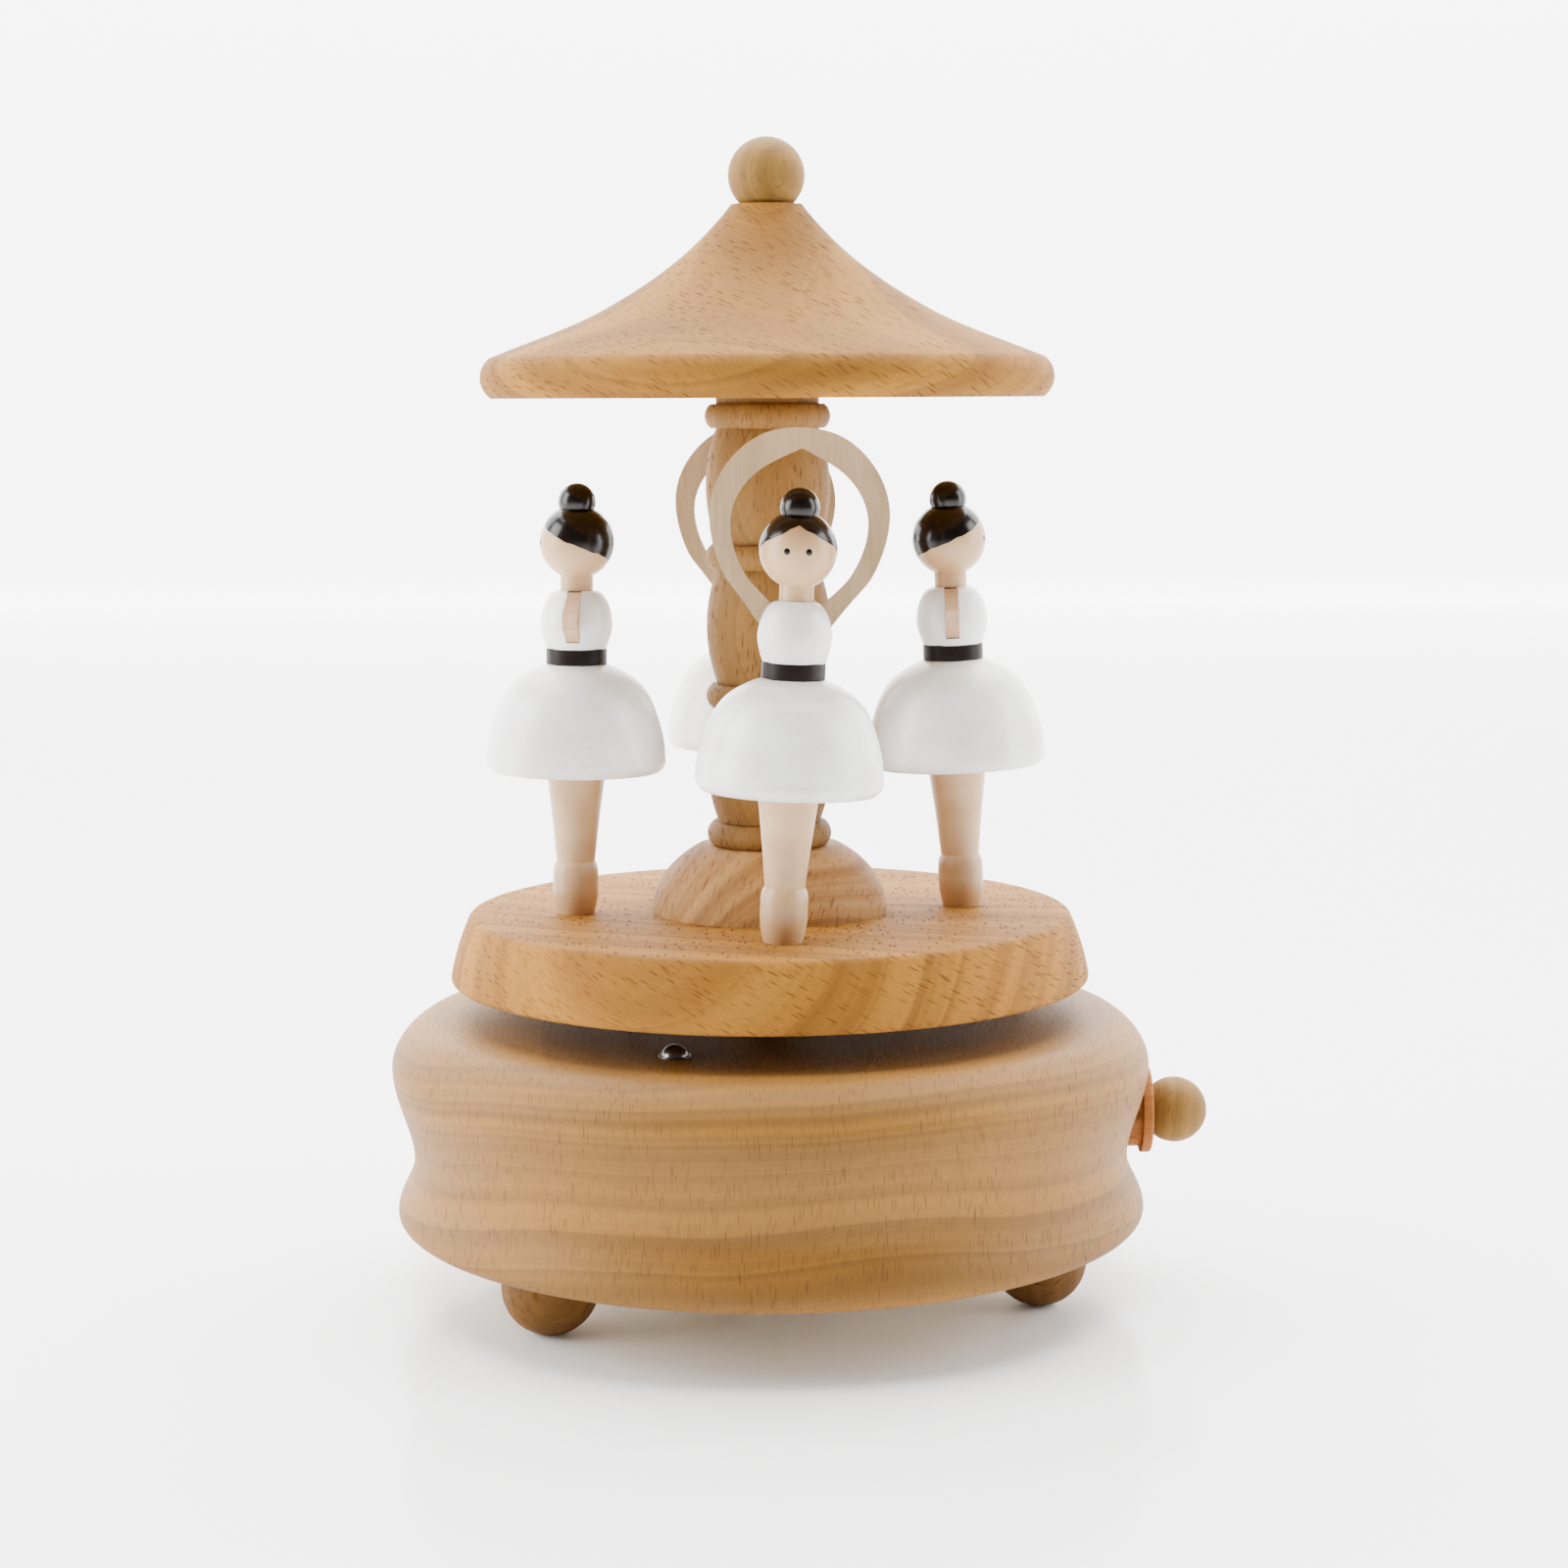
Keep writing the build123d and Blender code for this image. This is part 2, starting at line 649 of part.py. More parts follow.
def make_legs():
    """Turned shoe, ankle and leg, with a spigot up through the skirt."""
    shoe = Spline((sole_radius, 0), (shoe_radius, shoe_fullest), (ankle_radius, ankle_height),
                  tangents=[(0.3, 1), (-0.8, 1)])
    leg = Spline((ankle_radius, ankle_height), (3.45, 13.5), (leg_radius, leg_height))
    rest = Polyline((leg_radius, leg_height), (leg_spigot, leg_height), (leg_spigot, leg_spigot_top),
                    (0, leg_spigot_top), (0, -sole_spare), (sole_radius, -sole_spare),
                    (sole_radius, 0))
    bore = Pos(0, 0, -sole_spare) * bore_for(dowel_radius, sole_spare + dowel_depth)
    return turning(shoe, leg, rest) - bore


def make_skirt():
    """Bell of a tutu, flat below, bored for the legs' spigot."""
    r, z, h = skirt_radius, skirt_bottom, skirt_height
    rim = ThreePointArc((r - 0.9, z), (r - 0.2, z + 0.7), (r, z + 2.3))
    side = Spline((r, z + 2.3), (0.945 * r, z + 0.43 * h), (0.72 * r, z + 0.815 * h),
                  (belt_radius - 0.1, belt_bottom), tangents=((0, 1), (-1, 0.35)))
    rest = Polyline((belt_radius - 0.1, belt_bottom), (leg_spigot, belt_bottom),
                    (leg_spigot, z), (r - 0.9, z))
    return turning(rim, side, rest)


def make_torso():
    """Belt and egg-shaped torso, slotted from the top for the arms and bored for the head."""
    shoulder = 2.9
    side = Spline((belt_radius - 0.15, torso_bottom), (torso_radius, torso_bottom + 0.48 * torso_height),
                  (shoulder, torso_top), tangents=((0.45, 1), (-1, 0.25)))
    rest = Polyline((shoulder, torso_top), (0, torso_top), (0, belt_bottom),
                    (belt_radius, belt_bottom), (belt_radius, torso_bottom),
                    (belt_radius - 0.15, torso_bottom))
    half = plate_thickness / 2 + slot_clearance
    solid = turning(side, rest)
    solid -= block((-torso_radius - 1, -half, slot_bottom), (torso_radius + 1, half, torso_top + 1))
    solid -= bore_for(leg_spigot, leg_spigot_top)
    return solid - Pos(0, 0, bar_top) * bore_for(head_spigot, torso_top - bar_top)


def make_head():
    """Ball head with its bun and neck, and a spigot down into the torso."""
    return (Pos(0, 0, head_height) * Sphere(head_radius)
            + Pos(0, 0, head_height + bun_offset) * Sphere(bun_radius)
            + ring(neck_thickness, 0, torso_top, head_height)
            + ring(head_spigot, 0, bar_top + 0.2, torso_top))


def arm_plate(*half_outline):
    """A flat plate in the XZ plane from the lines of its right half."""
    half = Plane.XZ * make_face(Curve() + list(half_outline))
    right = extrude(half, plate_thickness / 2, both=True)
    return right + mirror(right, Plane.YZ)


def make_raised_arms():
    """Arms rounded above the head: a pear-shaped ring on a bar through the torso."""
    outer_top = head_height + 17.2
    inner_top = outer_top - 2.9
    outer = Spline((0, outer_top), (8.7, outer_top - 3.3), (12.7, outer_top - 11.9),
                   (10.7, outer_top - 20.3), (5.0, outer_top - 27.9),
                   tangents=((1, 0), (-0.72, -1)))
    inner = Spline((0, inner_top), (6.7, inner_top - 4.0), (9.7, inner_top - 10.2),
                   (7.8, inner_top - 17.3), (3.2, inner_top - 22.3),
                   tangents=((1, -0.5), (-1, -0.95)))
    foot = Polyline((5.0, outer_top - 27.9), (4.0, slot_bottom), (0, slot_bottom), (0, bar_top),
                    (2.2, bar_top), (3.2, inner_top - 22.3))
    return arm_plate(outer, Line((0, outer_top), (0, inner_top)), inner, foot)


def make_akimbo_arms():
    """Arms with the hands on the waist: a small triangle stands out at each side."""
    elbow_x = torso_radius + 4.2
    outline = Polyline((0, slot_bottom), (4.3, slot_bottom), (elbow_x - 0.2, torso_bottom + 3.4),
                       (elbow_x, torso_bottom + 5.7), (3.0, torso_top - 0.2), (2.2, torso_top - 0.2),
                       (2.2, bar_top), (0, bar_top), (0, slot_bottom))
    window = Polyline((torso_radius - 0.7, torso_bottom + 3.3), (torso_radius + 2.3, torso_bottom + 4.4),
                      (torso_radius - 0.7, torso_bottom + 5.8), close=True)
    plate = arm_plate(outline)
    hole = extrude(Plane.XZ * make_face(window), plate_thickness, both=True)
    return plate - hole - mirror(hole, Plane.YZ)


# ---------------------------------------------------------------- key and stop knob
def make_winding_key():
    """Butterfly key: a hub on the arbor and a wing to each side."""
    wing = extrude(Plane.XZ * SlotOverall(key_width, key_wing_height), key_wing_thickness / 2, both=True)
    wing = Pos(0, 0, key_bottom + key_wing_height / 2) * wing
    hub = ring(key_hub_radius, 0, key_bottom, base_bottom - key_gap)
    return wing + hub - ring(arbor_key_radius, 0, key_bottom + 1, base_bottom - key_gap)


def make_winding_arbor():
    """Steel arbor from the key up into the spring barrel."""
    return ring(arbor_key_radius, 0, key_bottom + 1, barrel_top - barrel_wall - 0.4)


def make_stop_knob():
    """Ball knob with a flat towards the base, bored for the rod."""
    ball = Sphere(knob_radius) & block((-2 * knob_radius, -2 * knob_radius, -knob_flat),
                                       (2 * knob_radius, 2 * knob_radius, 2 * knob_radius))
    ball -= ring(rod_radius, 0, -knob_flat, 1.0)
    return Pos(knob_centre, 0, knob_height) * along_x(ball)


def make_stop_rod():
    """Steel rod through the bush, bent down beside the fly."""
    level = ring(rod_radius, 0, rod_drop, knob_centre + 1.0)
    drop = Pos(rod_drop, 0, 0) * ring(rod_radius, 0, fly_bottom + 0.2, knob_height)
    return (Pos(0, 0, knob_height) * along_x(level) + drop
            + Pos(rod_drop, 0, knob_height) * Sphere(rod_radius))


# ---------------------------------------------------------------- assembly and files
pieces = {
    "base_housing": make_base_housing(),
    "bottom_board": make_bottom_board(),
    "board_screws": round_the_axis(board_screw_angles, board_screw_circle, Pos(0, 0, base_bottom) *
                                   flat_screw(board_screw_length, screw_radius, screw_head)),
    "foot_screws": round_the_axis(foot_angles, foot_circle, Pos(0, 0, board_top) * Rot(180, 0, 0) *
                                  flat_screw(foot_screw_length, screw_radius, screw_head)),
    "bumper_tacks": round_the_axis(tack_angles, tack_circle, Pos(0, 0, base_top) * make_tack()),
    "knob_bush": make_knob_bush(),
    "shaft_bush": make_shaft_bush(),
    "turntable_hub": make_hub(),
    "hub_screws": round_the_axis(hub_screw_angles, hub_screw_circle,
                                 Pos(0, 0, platform_bottom - hub_flange) * Rot(180, 0, 0) *
                                 pan_screw(hub_screw_length, hub_screw_radius, 2.1, 1.2)),
    "drive_shaft": ring(shaft_radius, 0, barrel_top - barrel_wall, platform_bottom + hub_boss),
    "platform": make_platform(),
    "dome_base": make_dome(),
    "column": make_column(),
    "roof": make_roof(),
    "finial": make_finial(),
    "barrel_lid": ring(barrel_radius - barrel_wall, arbor_key_radius + 0.5,
                       barrel_bottom, barrel_bottom + barrel_wall),
    "mainspring": make_mainspring(),
    "winding_key": make_winding_key(),
    "winding_arbor": make_winding_arbor(),
    "stop_knob": make_stop_knob(),
    "stop_rod": make_stop_rod(),
}

for number, foot in enumerate(round_the_axis(foot_angles, foot_circle, make_foot()), start=1):
    pieces[f"foot_{number}"] = foot

movement = {
    "bedplate": make_bedplate(),
    "bedplate_screws": [Pos(x, y, bed_top) * pan_screw(bed_screw_length, bed_screw_radius,
                                                       bed_screw_head, 1.2)
                        for x, y in bed_screw_places],
    "cylinder_bearings": [make_bearing(inner_bearing, 4.0), make_bearing(outer_bearing, 2.4)],
    "comb_block": make_comb_block(),
    "comb": make_comb(),
    "comb_screws": [Pos(x, y, arbor_height + comb_thickness) *
                    pan_screw(comb_screw_length, comb_screw_radius, 1.8, 1.1)
                    for x, y in comb_screw_places],
    "governor_bracket": make_governor_bracket(),
    "spring_barrel": make_spring_barrel(),
    "music_cylinder": make_music_cylinder(),
    "cylinder_arbor": Pos(crown_radius - 1.6, 0, arbor_height) *
    along_x(ring(arbor_radius, 0, 0, outer_bearing + bearing_thickness + 0.4 - crown_radius + 1.6)),
    "drive_pinion": make_drive_pinion(),
    "worm_wheel": make_worm_wheel(),
    "governor_shaft": make_governor_shaft(),
    "fly": make_fly(),
}
for name, solid in movement.items():
    turned = Rot(0, 0, movement_turn)
    pieces[name] = [turned * item for item in solid] if isinstance(solid, list) else turned * solid

under_the_soles = block((-platform_radius, -platform_radius, platform_bottom),
                        (platform_radius, platform_radius, platform_top))
for name, place in zip(dancer_names, dancer_places):
    arms = make_raised_arms() if name in ("front", "rear") else make_akimbo_arms()
    for part, solid in (("legs", make_legs()), ("skirt", make_skirt()), ("torso", make_torso()),
                        ("arms", arms), ("head", make_head())):
        pieces[f"dancer_{name}_{part}"] = place * solid
    pieces[f"dancer_{name}_legs"] -= under_the_soles
dowel = Pos(0, 0, -dowel_depth) * bore_for(dowel_radius, 2 * dowel_depth)
pieces["dancer_dowels"] = [place * dowel for place in dancer_places]

os.makedirs("parts", exist_ok=True)
for name, solid in pieces.items():
    shape = Compound(children=[Part() + item for item in solid]) if isinstance(solid, list) else solid
    export_step(shape, f"parts/{name}.step")

print("cylinder arbor height", round(arbor_height, 4), "movement turned", round(movement_turn, 4))
print("fly at", round(fly_reach, 4), "ratios", crown_teeth / pinion_teeth,
      wheel_teeth * crown_teeth / pinion_teeth)
print("total height", round(roof_top + (finial_radius ** 2 - finial_seat_radius ** 2) ** 0.5
                            + finial_radius, 3))
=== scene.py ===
import json
import logging
import math
from dataclasses import dataclass, field
from enum import Enum
from typing import Optional, Sequence

import bpy
import numpy as np
from mathutils import Matrix, Vector


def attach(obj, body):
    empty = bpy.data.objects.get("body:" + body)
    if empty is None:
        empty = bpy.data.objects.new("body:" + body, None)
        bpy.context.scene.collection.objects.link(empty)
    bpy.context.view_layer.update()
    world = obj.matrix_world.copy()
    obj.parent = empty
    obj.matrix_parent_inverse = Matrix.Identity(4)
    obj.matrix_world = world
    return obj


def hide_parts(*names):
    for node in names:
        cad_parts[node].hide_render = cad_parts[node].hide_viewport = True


# Carousel music box in turned beech with four painted ballerinas.
# Sizes are millimetres, and become metres only when a mesh is written; the studio's are
# metres.  Angles are degrees.  +Z is up, the turning axis is Z and the front is towards -Y.

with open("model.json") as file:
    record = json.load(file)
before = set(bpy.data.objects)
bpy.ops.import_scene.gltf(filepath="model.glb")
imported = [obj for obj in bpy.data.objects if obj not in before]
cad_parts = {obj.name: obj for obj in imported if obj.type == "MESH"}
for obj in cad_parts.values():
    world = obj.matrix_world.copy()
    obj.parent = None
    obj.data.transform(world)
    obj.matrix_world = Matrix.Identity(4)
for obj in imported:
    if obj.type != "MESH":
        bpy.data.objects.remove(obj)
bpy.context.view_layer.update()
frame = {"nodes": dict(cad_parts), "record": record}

MM = 0.001
ROUND = 2 * math.pi
LOG = logging.getLogger("music_box")
Point = tuple[float, float]
Vector3 = tuple[float, float, float]
Socket = bpy.types.NodeSocket

CREASE = 38.0       # an edge sharper than this stays sharp
CUT_CREASE = 32.0   # the same on a piece that something was cut from


# ---------------------------------------------------------------- colour and nodes
def linear(code: str) -> tuple[float, float, float, float]:
    """Turn an sRGB hex code into the linear colour that a shader takes.

    Args:
        code: six hex digits, with or without a leading hash.

    Returns:
        Linear red, green, blue and an alpha of 1.
    """
    raw = np.array([int(code.lstrip("#")[i:i + 2], 16) for i in (0, 2, 4)]) / 255
    low = raw / 12.92
    high = ((raw + 0.055) / 1.055) ** 2.4
    return (*np.where(raw <= 0.04045, low, high).tolist(), 1.0)


def add(tree: bpy.types.NodeTree, kind: str, inputs: Optional[dict] = None,
        **settings: object) -> bpy.types.Node:
    """Add one node with its settings, constants and links.

    Args:
        tree: node tree of the material.
        kind: type of the node, without its ShaderNode prefix.
        inputs: socket name or number to a constant or to another node's output.
        settings: the node's own properties.

    Returns:
        The new node.
    """
    node = tree.nodes.new("ShaderNode" + kind)
    for name, value in settings.items():
        setattr(node, name, value)
    for socket, value in (inputs or {}).items():
        if isinstance(value, bpy.types.NodeSocket):
            tree.links.new(value, node.inputs[socket])
        else:
            node.inputs[socket].default_value = value
    return node


@dataclass(frozen=True)
class Finish:
    """What every finish has: a name, its gloss, and a shader that the others build on."""

    name: str
    roughness: float = 0.4
    metallic: float = 0.0
    coat: float = 0.0
    coat_roughness: float = 0.22    # a satin top coat
    specular: float = 0.5

    def start(self) -> tuple[bpy.types.Material, bpy.types.NodeTree, bpy.types.Node, Socket]:
        """Make the empty material.

        Returns:
            The material, its tree, its main shader and the position in millimetres.
        """
        material = bpy.data.materials.new(self.name)
        material.use_nodes = True
        tree = material.node_tree
        shader = tree.nodes["Principled BSDF"]
        gloss = {"Roughness": self.roughness, "Metallic": self.metallic, "Coat Weight": self.coat,
                 "Coat Roughness": self.coat_roughness, "Specular IOR Level": self.specular}
        for socket, value in gloss.items():
            shader.inputs[socket].default_value = value
        coordinates = add(tree, "TexCoord")
        place = add(tree, "VectorMath", {0: coordinates.outputs["Object"], "Scale": 1 / MM},
                    operation="SCALE")
        return material, tree, shader, place.outputs[0]

    def mottle(self, tree: bpy.types.NodeTree, place: Socket, lump: Vector3, detail: float = 2.0) -> Socket:
        """Uneven patches of a real size.

        Args:
            tree: node tree of the material.
            place: position in millimetres.
            lump: size of a patch along X, Y and Z.
            detail: how many finer layers lie on top.

        Returns:
            A value about 0.5, between 0 and 1.
        """
        scaled = add(tree, "VectorMath", {0: place, 1: tuple(1 / size for size in lump)},
                     operation="MULTIPLY").outputs[0]
        return add(tree, "TexNoise", {"Vector": scaled, "Scale": 1.0, "Detail": detail}).outputs["Fac"]

    def raised(self, tree: bpy.types.NodeTree, shader: bpy.types.Node, height: Socket, depth: float,
               strength: float) -> None:
        """Give the surface relief: height 0 to 1 is depth millimetres."""
        bump = add(tree, "Bump", {"Height": height, "Distance": depth * MM, "Strength": strength})
        tree.links.new(bump.outputs[0], shader.inputs["Normal"])


@dataclass(frozen=True)
class TurnedBeech(Finish):
    """Steamed beech, turned and satin lacquered.

    It shows growth rings as soft bands, the tree's rays as short dark dashes, and fine
    streaks of fibre that break up the sheen.  A ring's number is its distance from the pith
    over the ring width, plus a slow sway.  Its dark late wood is the fourth power of the
    number's fraction.  Rays are the cores of long thin cells.  Real rays are about 0.2 mm
    wide and fibres far finer, too fine to show, so both are drawn coarser.

    Lump and cell sizes are millimetres along the log's radius, its tangent and its grain.
    """

    light: str = "#a8702f"
    dark: str = "#7f4e1d"
    ray: str = "#42240d"
    grain: Vector3 = (0.0, 1.0, 0.0)
    radial: Vector3 = (0.0, 0.0, 1.0)
    pith: Point = (-95.0, 12.0)             # from the turning axis, along radial and tangent
    ring_width: float = 4.2
    ring_depth: float = 0.60                # how far the rings darken the wood
    late_wood: float = 0.45                 # weight of the dark line that ends a ring
    sway: Vector3 = (40.0, 40.0, 160.0)     # lumps that bend the rings
    broad: Vector3 = (34.0, 40.0, 120.0)    # lumps of darker wood
    broad_depth: float = 0.3                # how far they darken it
    fibre: Vector3 = (0.35, 0.35, 9.0)      # one streak of fibre
    fibre_depth: float = 0.30               # how far it darkens the wood
    ray_size: Vector3 = (4.6, 0.44, 3.0)    # cell that holds one ray
    ray_core: float = 0.15                  # solid part of a ray, in cells
    ray_edge: float = 0.33                  # where it has faded out
    ray_share: float = 0.60                 # how dark the dashes are
    ray_patch: Vector3 = (7.0, 7.0, 16.0)   # lumps where the rays are darker
    small_ray: float = 0.55                 # size of the small rays to the large ones
    small_share: float = 0.5                # and their darkness
    relief: float = 0.05
    roughness: float = 0.60
    specular: float = 0.20

    def axes(self) -> np.ndarray:
        """Work out the log's directions.

        Returns:
            Rows for its radius, its tangent and its grain, all square to each other.
        """
        grain = np.array(self.grain) / np.linalg.norm(self.grain)
        radial = np.array(self.radial) - np.dot(self.radial, grain) * grain
        radial /= np.linalg.norm(radial)
        return np.array([radial, np.cross(grain, radial), grain])

    def rings(self, tree: bpy.types.NodeTree, log: Socket) -> Socket:
        """Growth rings, each ended by a darker line.

        Args:
            tree: node tree of the material.
            log: position along the log's directions.

        Returns:
            How dark the rings are.
        """
        sway = add(tree, "MapRange", {0: self.mottle(tree, log, self.sway, 1.0), 1: 0.2, 2: 0.8,
                                      3: -0.5, 4: 0.5}).outputs[0]
        from_pith = add(tree, "VectorMath", {0: log, 1: (*self.pith, 0.0)}, operation="SUBTRACT").outputs[0]
        flat = add(tree, "VectorMath", {0: from_pith, 1: (1.0, 1.0, 0.0)}, operation="MULTIPLY").outputs[0]
        distance = add(tree, "VectorMath", {0: flat}, operation="LENGTH").outputs["Value"]
        number = add(tree, "Math", {0: distance, 1: 1 / self.ring_width, 2: sway},
                     operation="MULTIPLY_ADD").outputs[0]
        bands = add(tree, "TexNoise", {"W": number, "Scale": 1.0, "Detail": 3.0, "Roughness": 0.6},
                    noise_dimensions="1D").outputs["Fac"]
        bands = add(tree, "MapRange", {0: bands, 1: 0.34, 2: 0.66}).outputs[0]
        fraction = add(tree, "Math", {0: number}, operation="FRACT").outputs[0]
        late = add(tree, "Math", {0: fraction, 1: 4.0}, operation="POWER").outputs[0]
        return add(tree, "Math", {0: late, 1: self.late_wood, 2: bands}, operation="MULTIPLY_ADD").outputs[0]

    def rays(self, tree: bpy.types.NodeTree, log: Socket, size: float) -> Socket:
        """Rays of one size.

        Args:
            tree: node tree of the material.
            log: position along the log's directions.
            size: their size, as a share of the finish's own.

        Returns:
            1 in a ray's core and 0 outside.
        """
        cells = add(tree, "VectorMath", {0: log, 1: tuple(1 / (s * size) for s in self.ray_size)},
                    operation="MULTIPLY").outputs[0]
        core = add(tree, "TexVoronoi", {"Vector": cells, "Scale": 1.0}).outputs["Distance"]
        return add(tree, "MapRange", {0: core, 1: self.ray_core, 2: self.ray_edge, 3: 1.0, 4: 0.0}).outputs[0]

    def dashes(self, tree: bpy.types.NodeTree, log: Socket) -> Socket:
        """Large and small rays together, darker in patches.

        Args:
            tree: node tree of the material.
            log: position along the log's directions.

        Returns:
            How dark the rays are.
        """
        small = add(tree, "Math", {0: self.rays(tree, log, self.small_ray), 1: self.small_share},
                    operation="MULTIPLY").outputs[0]
        both = add(tree, "Math", {0: self.rays(tree, log, 1.0), 1: small}, operation="MAXIMUM").outputs[0]
        patch = add(tree, "MapRange", {0: self.mottle(tree, log, self.ray_patch, 1.0), 1: 0.30, 2: 0.62,
                                       3: 0.5, 4: 1.0}).outputs[0]
        return add(tree, "Math", {0: both, 1: patch}, operation="MULTIPLY").outputs[0]

    def build(self) -> bpy.types.Material:
        """Make the material: rings, then darker wood, fibre and rays over them.

        Returns:
            The material.
        """
        material, tree, shader, place = self.start()
        parts = [add(tree, "VectorMath", {0: place, 1: tuple(axis)}, operation="DOT_PRODUCT").outputs["Value"]
                 for axis in self.axes().tolist()]
        log = add(tree, "CombineXYZ", dict(enumerate(parts))).outputs[0]
        broad = add(tree, "MapRange", {0: self.mottle(tree, log, self.broad), 1: 0.3, 2: 0.7}).outputs[0]
        fibre = self.mottle(tree, log, self.fibre, 3.0)
        dash = self.dashes(tree, log)

        shade = add(tree, "Math", {0: self.rings(tree, log), 1: self.ring_depth},
                    operation="MULTIPLY").outputs[0]
        shade = add(tree, "Math", {0: broad, 1: self.broad_depth, 2: shade}, operation="MULTIPLY_ADD",
                    use_clamp=True).outputs[0]
        streak = add(tree, "MapRange", {0: fibre, 1: 0.3, 2: 0.7, 4: self.fibre_depth}).outputs[0]
        marks = add(tree, "Math", {0: dash, 1: self.ray_share}, operation="MULTIPLY").outputs[0]
        wood = linear(self.light)
        for share, colour in ((shade, self.dark), (streak, self.dark), (marks, self.ray)):
            wood = add(tree, "Mix", {0: share, 6: wood, 7: linear(colour)}, data_type="RGBA").outputs[2]
        tree.links.new(wood, shader.inputs["Base Color"])

        rough = add(tree, "Math", {0: dash, 1: 0.16, 2: self.roughness}, operation="MULTIPLY_ADD").outputs[0]
        rough = add(tree, "Math", {0: fibre, 1: 0.10, 2: rough}, operation="MULTIPLY_ADD").outputs[0]
        tree.links.new(rough, shader.inputs["Roughness"])
        height = add(tree, "Math", {0: dash, 1: -0.7, 2: fibre}, operation="MULTIPLY_ADD").outputs[0]
        self.raised(tree, shader, height, self.relief, 0.55)
        return material


@dataclass(frozen=True)
class Lacquer(Finish):
    """Paint on turned wood, dipped or brushed.

    It shows a faint ripple from the brush, tiny pits and specks where the grain lifted,
    and a slow drift in tone where the coat is thinner.  Lump sizes are millimetres.
    """

    colour: str = "#f1f2f1"
    thin: str = "#e3e0d8"           # where the wood warms the coat
    speck: str = "#b7aa96"
    specks: float = 0.5             # how strongly they show
    pits: float = 0.55              # pits to a millimetre
    drift: Vector3 = (9.0, 9.0, 7.0)
    ripple: Vector3 = (1.6, 1.6, 1.1)
    relief: float = 0.05

    def build(self) -> bpy.types.Material:
        """Make the material.

        Returns:
            The material.
        """
        material, tree, shader, place = self.start()
        drift = add(tree, "MapRange", {0: self.mottle(tree, place, self.drift), 1: 0.35, 2: 0.7}).outputs[0]
        spread = add(tree, "VectorMath", {0: place, 1: (self.pits,) * 3}, operation="MULTIPLY").outputs[0]
        pit = add(tree, "TexVoronoi", {"Vector": spread, "Scale": 1.0}).outputs["Distance"]
        pit = add(tree, "MapRange", {0: pit, 1: 0.05, 2: 0.10, 3: self.specks, 4: 0.0}).outputs[0]
        colour = linear(self.colour)
        for share, over in ((drift, self.thin), (pit, self.speck)):
            colour = add(tree, "Mix", {0: share, 6: colour, 7: linear(over)}, data_type="RGBA").outputs[2]
        tree.links.new(colour, shader.inputs["Base Color"])
        ripple = self.mottle(tree, place, self.ripple)
        height = add(tree, "Math", {0: pit, 1: -0.8, 2: ripple}, operation="MULTIPLY_ADD").outputs[0]
        self.raised(tree, shader, height, self.relief, 0.7)
        rough = add(tree, "Math", {0: ripple, 1: 0.12, 2: self.roughness - 0.06},
                    operation="MULTIPLY_ADD").outputs[0]
        tree.links.new(rough, shader.inputs["Roughness"])
        return material


@dataclass(frozen=True)
class SandedPlywood(Finish):
    """Thin birch plywood, sawn and sanded: fine pale streaks, dull, with sanding scratches."""

    light: str = "#b59a76"
    dark: str = "#967b57"
    along: Vector3 = (0.4, 0.4, 6.0)    # one streak, drawn coarser than real fibre, or it wouldn't show
    broad: Vector3 = (5.0, 5.0, 18.0)
    relief: float = 0.04

    def build(self) -> bpy.types.Material:
        """Make the material.

        Returns:
            The material.
        """
        material, tree, shader, place = self.start()
        streak = self.mottle(tree, place, self.along, 3.0)
        broad = self.mottle(tree, place, self.broad, 1.0)
        share = add(tree, "Math", {0: streak, 1: 0.6, 2: broad}, operation="MULTIPLY_ADD").outputs[0]
        share = add(tree, "MapRange", {0: share, 1: 0.5, 2: 1.1}).outputs[0]
        wood = add(tree, "Mix", {0: share, 6: linear(self.light), 7: linear(self.dark)}, data_type="RGBA")
        tree.links.new(wood.outputs[2], shader.inputs["Base Color"])
        self.raised(tree, shader, streak, self.relief, 0.5)
        return material


@dataclass(frozen=True)
class Worked(Finish):
    """Metal or moulded plastic of the movement.

    Fine tool marks run one way, and the tone drifts a little as handled or plated parts do.
    """

    colour: str = "#b9b9ba"
    worn: str = "#8f8f90"
    drift: Vector3 = (4.0, 4.0, 4.0)
    marks: Vector3 = (0.12, 3.0, 3.0)
    relief: float = 0.006

    def build(self) -> bpy.types.Material:
        """Make the material.

        Returns:
            The material.
        """
        material, tree, shader, place = self.start()
        drift = add(tree, "MapRange", {0: self.mottle(tree, place, self.drift, 3.0), 1: 0.35,
                                       2: 0.75}).outputs[0]
        tone = add(tree, "Mix", {0: drift, 6: linear(self.colour), 7: linear(self.worn)}, data_type="RGBA")
        tree.links.new(tone.outputs[2], shader.inputs["Base Color"])
        marks = self.mottle(tree, place, self.marks)
        rough = add(tree, "Math", {0: marks, 1: 0.14, 2: self.roughness - 0.07},
                    operation="MULTIPLY_ADD").outputs[0]
        tree.links.new(rough, shader.inputs["Roughness"])
        self.raised(tree, shader, marks, self.relief, 0.6)
        return material


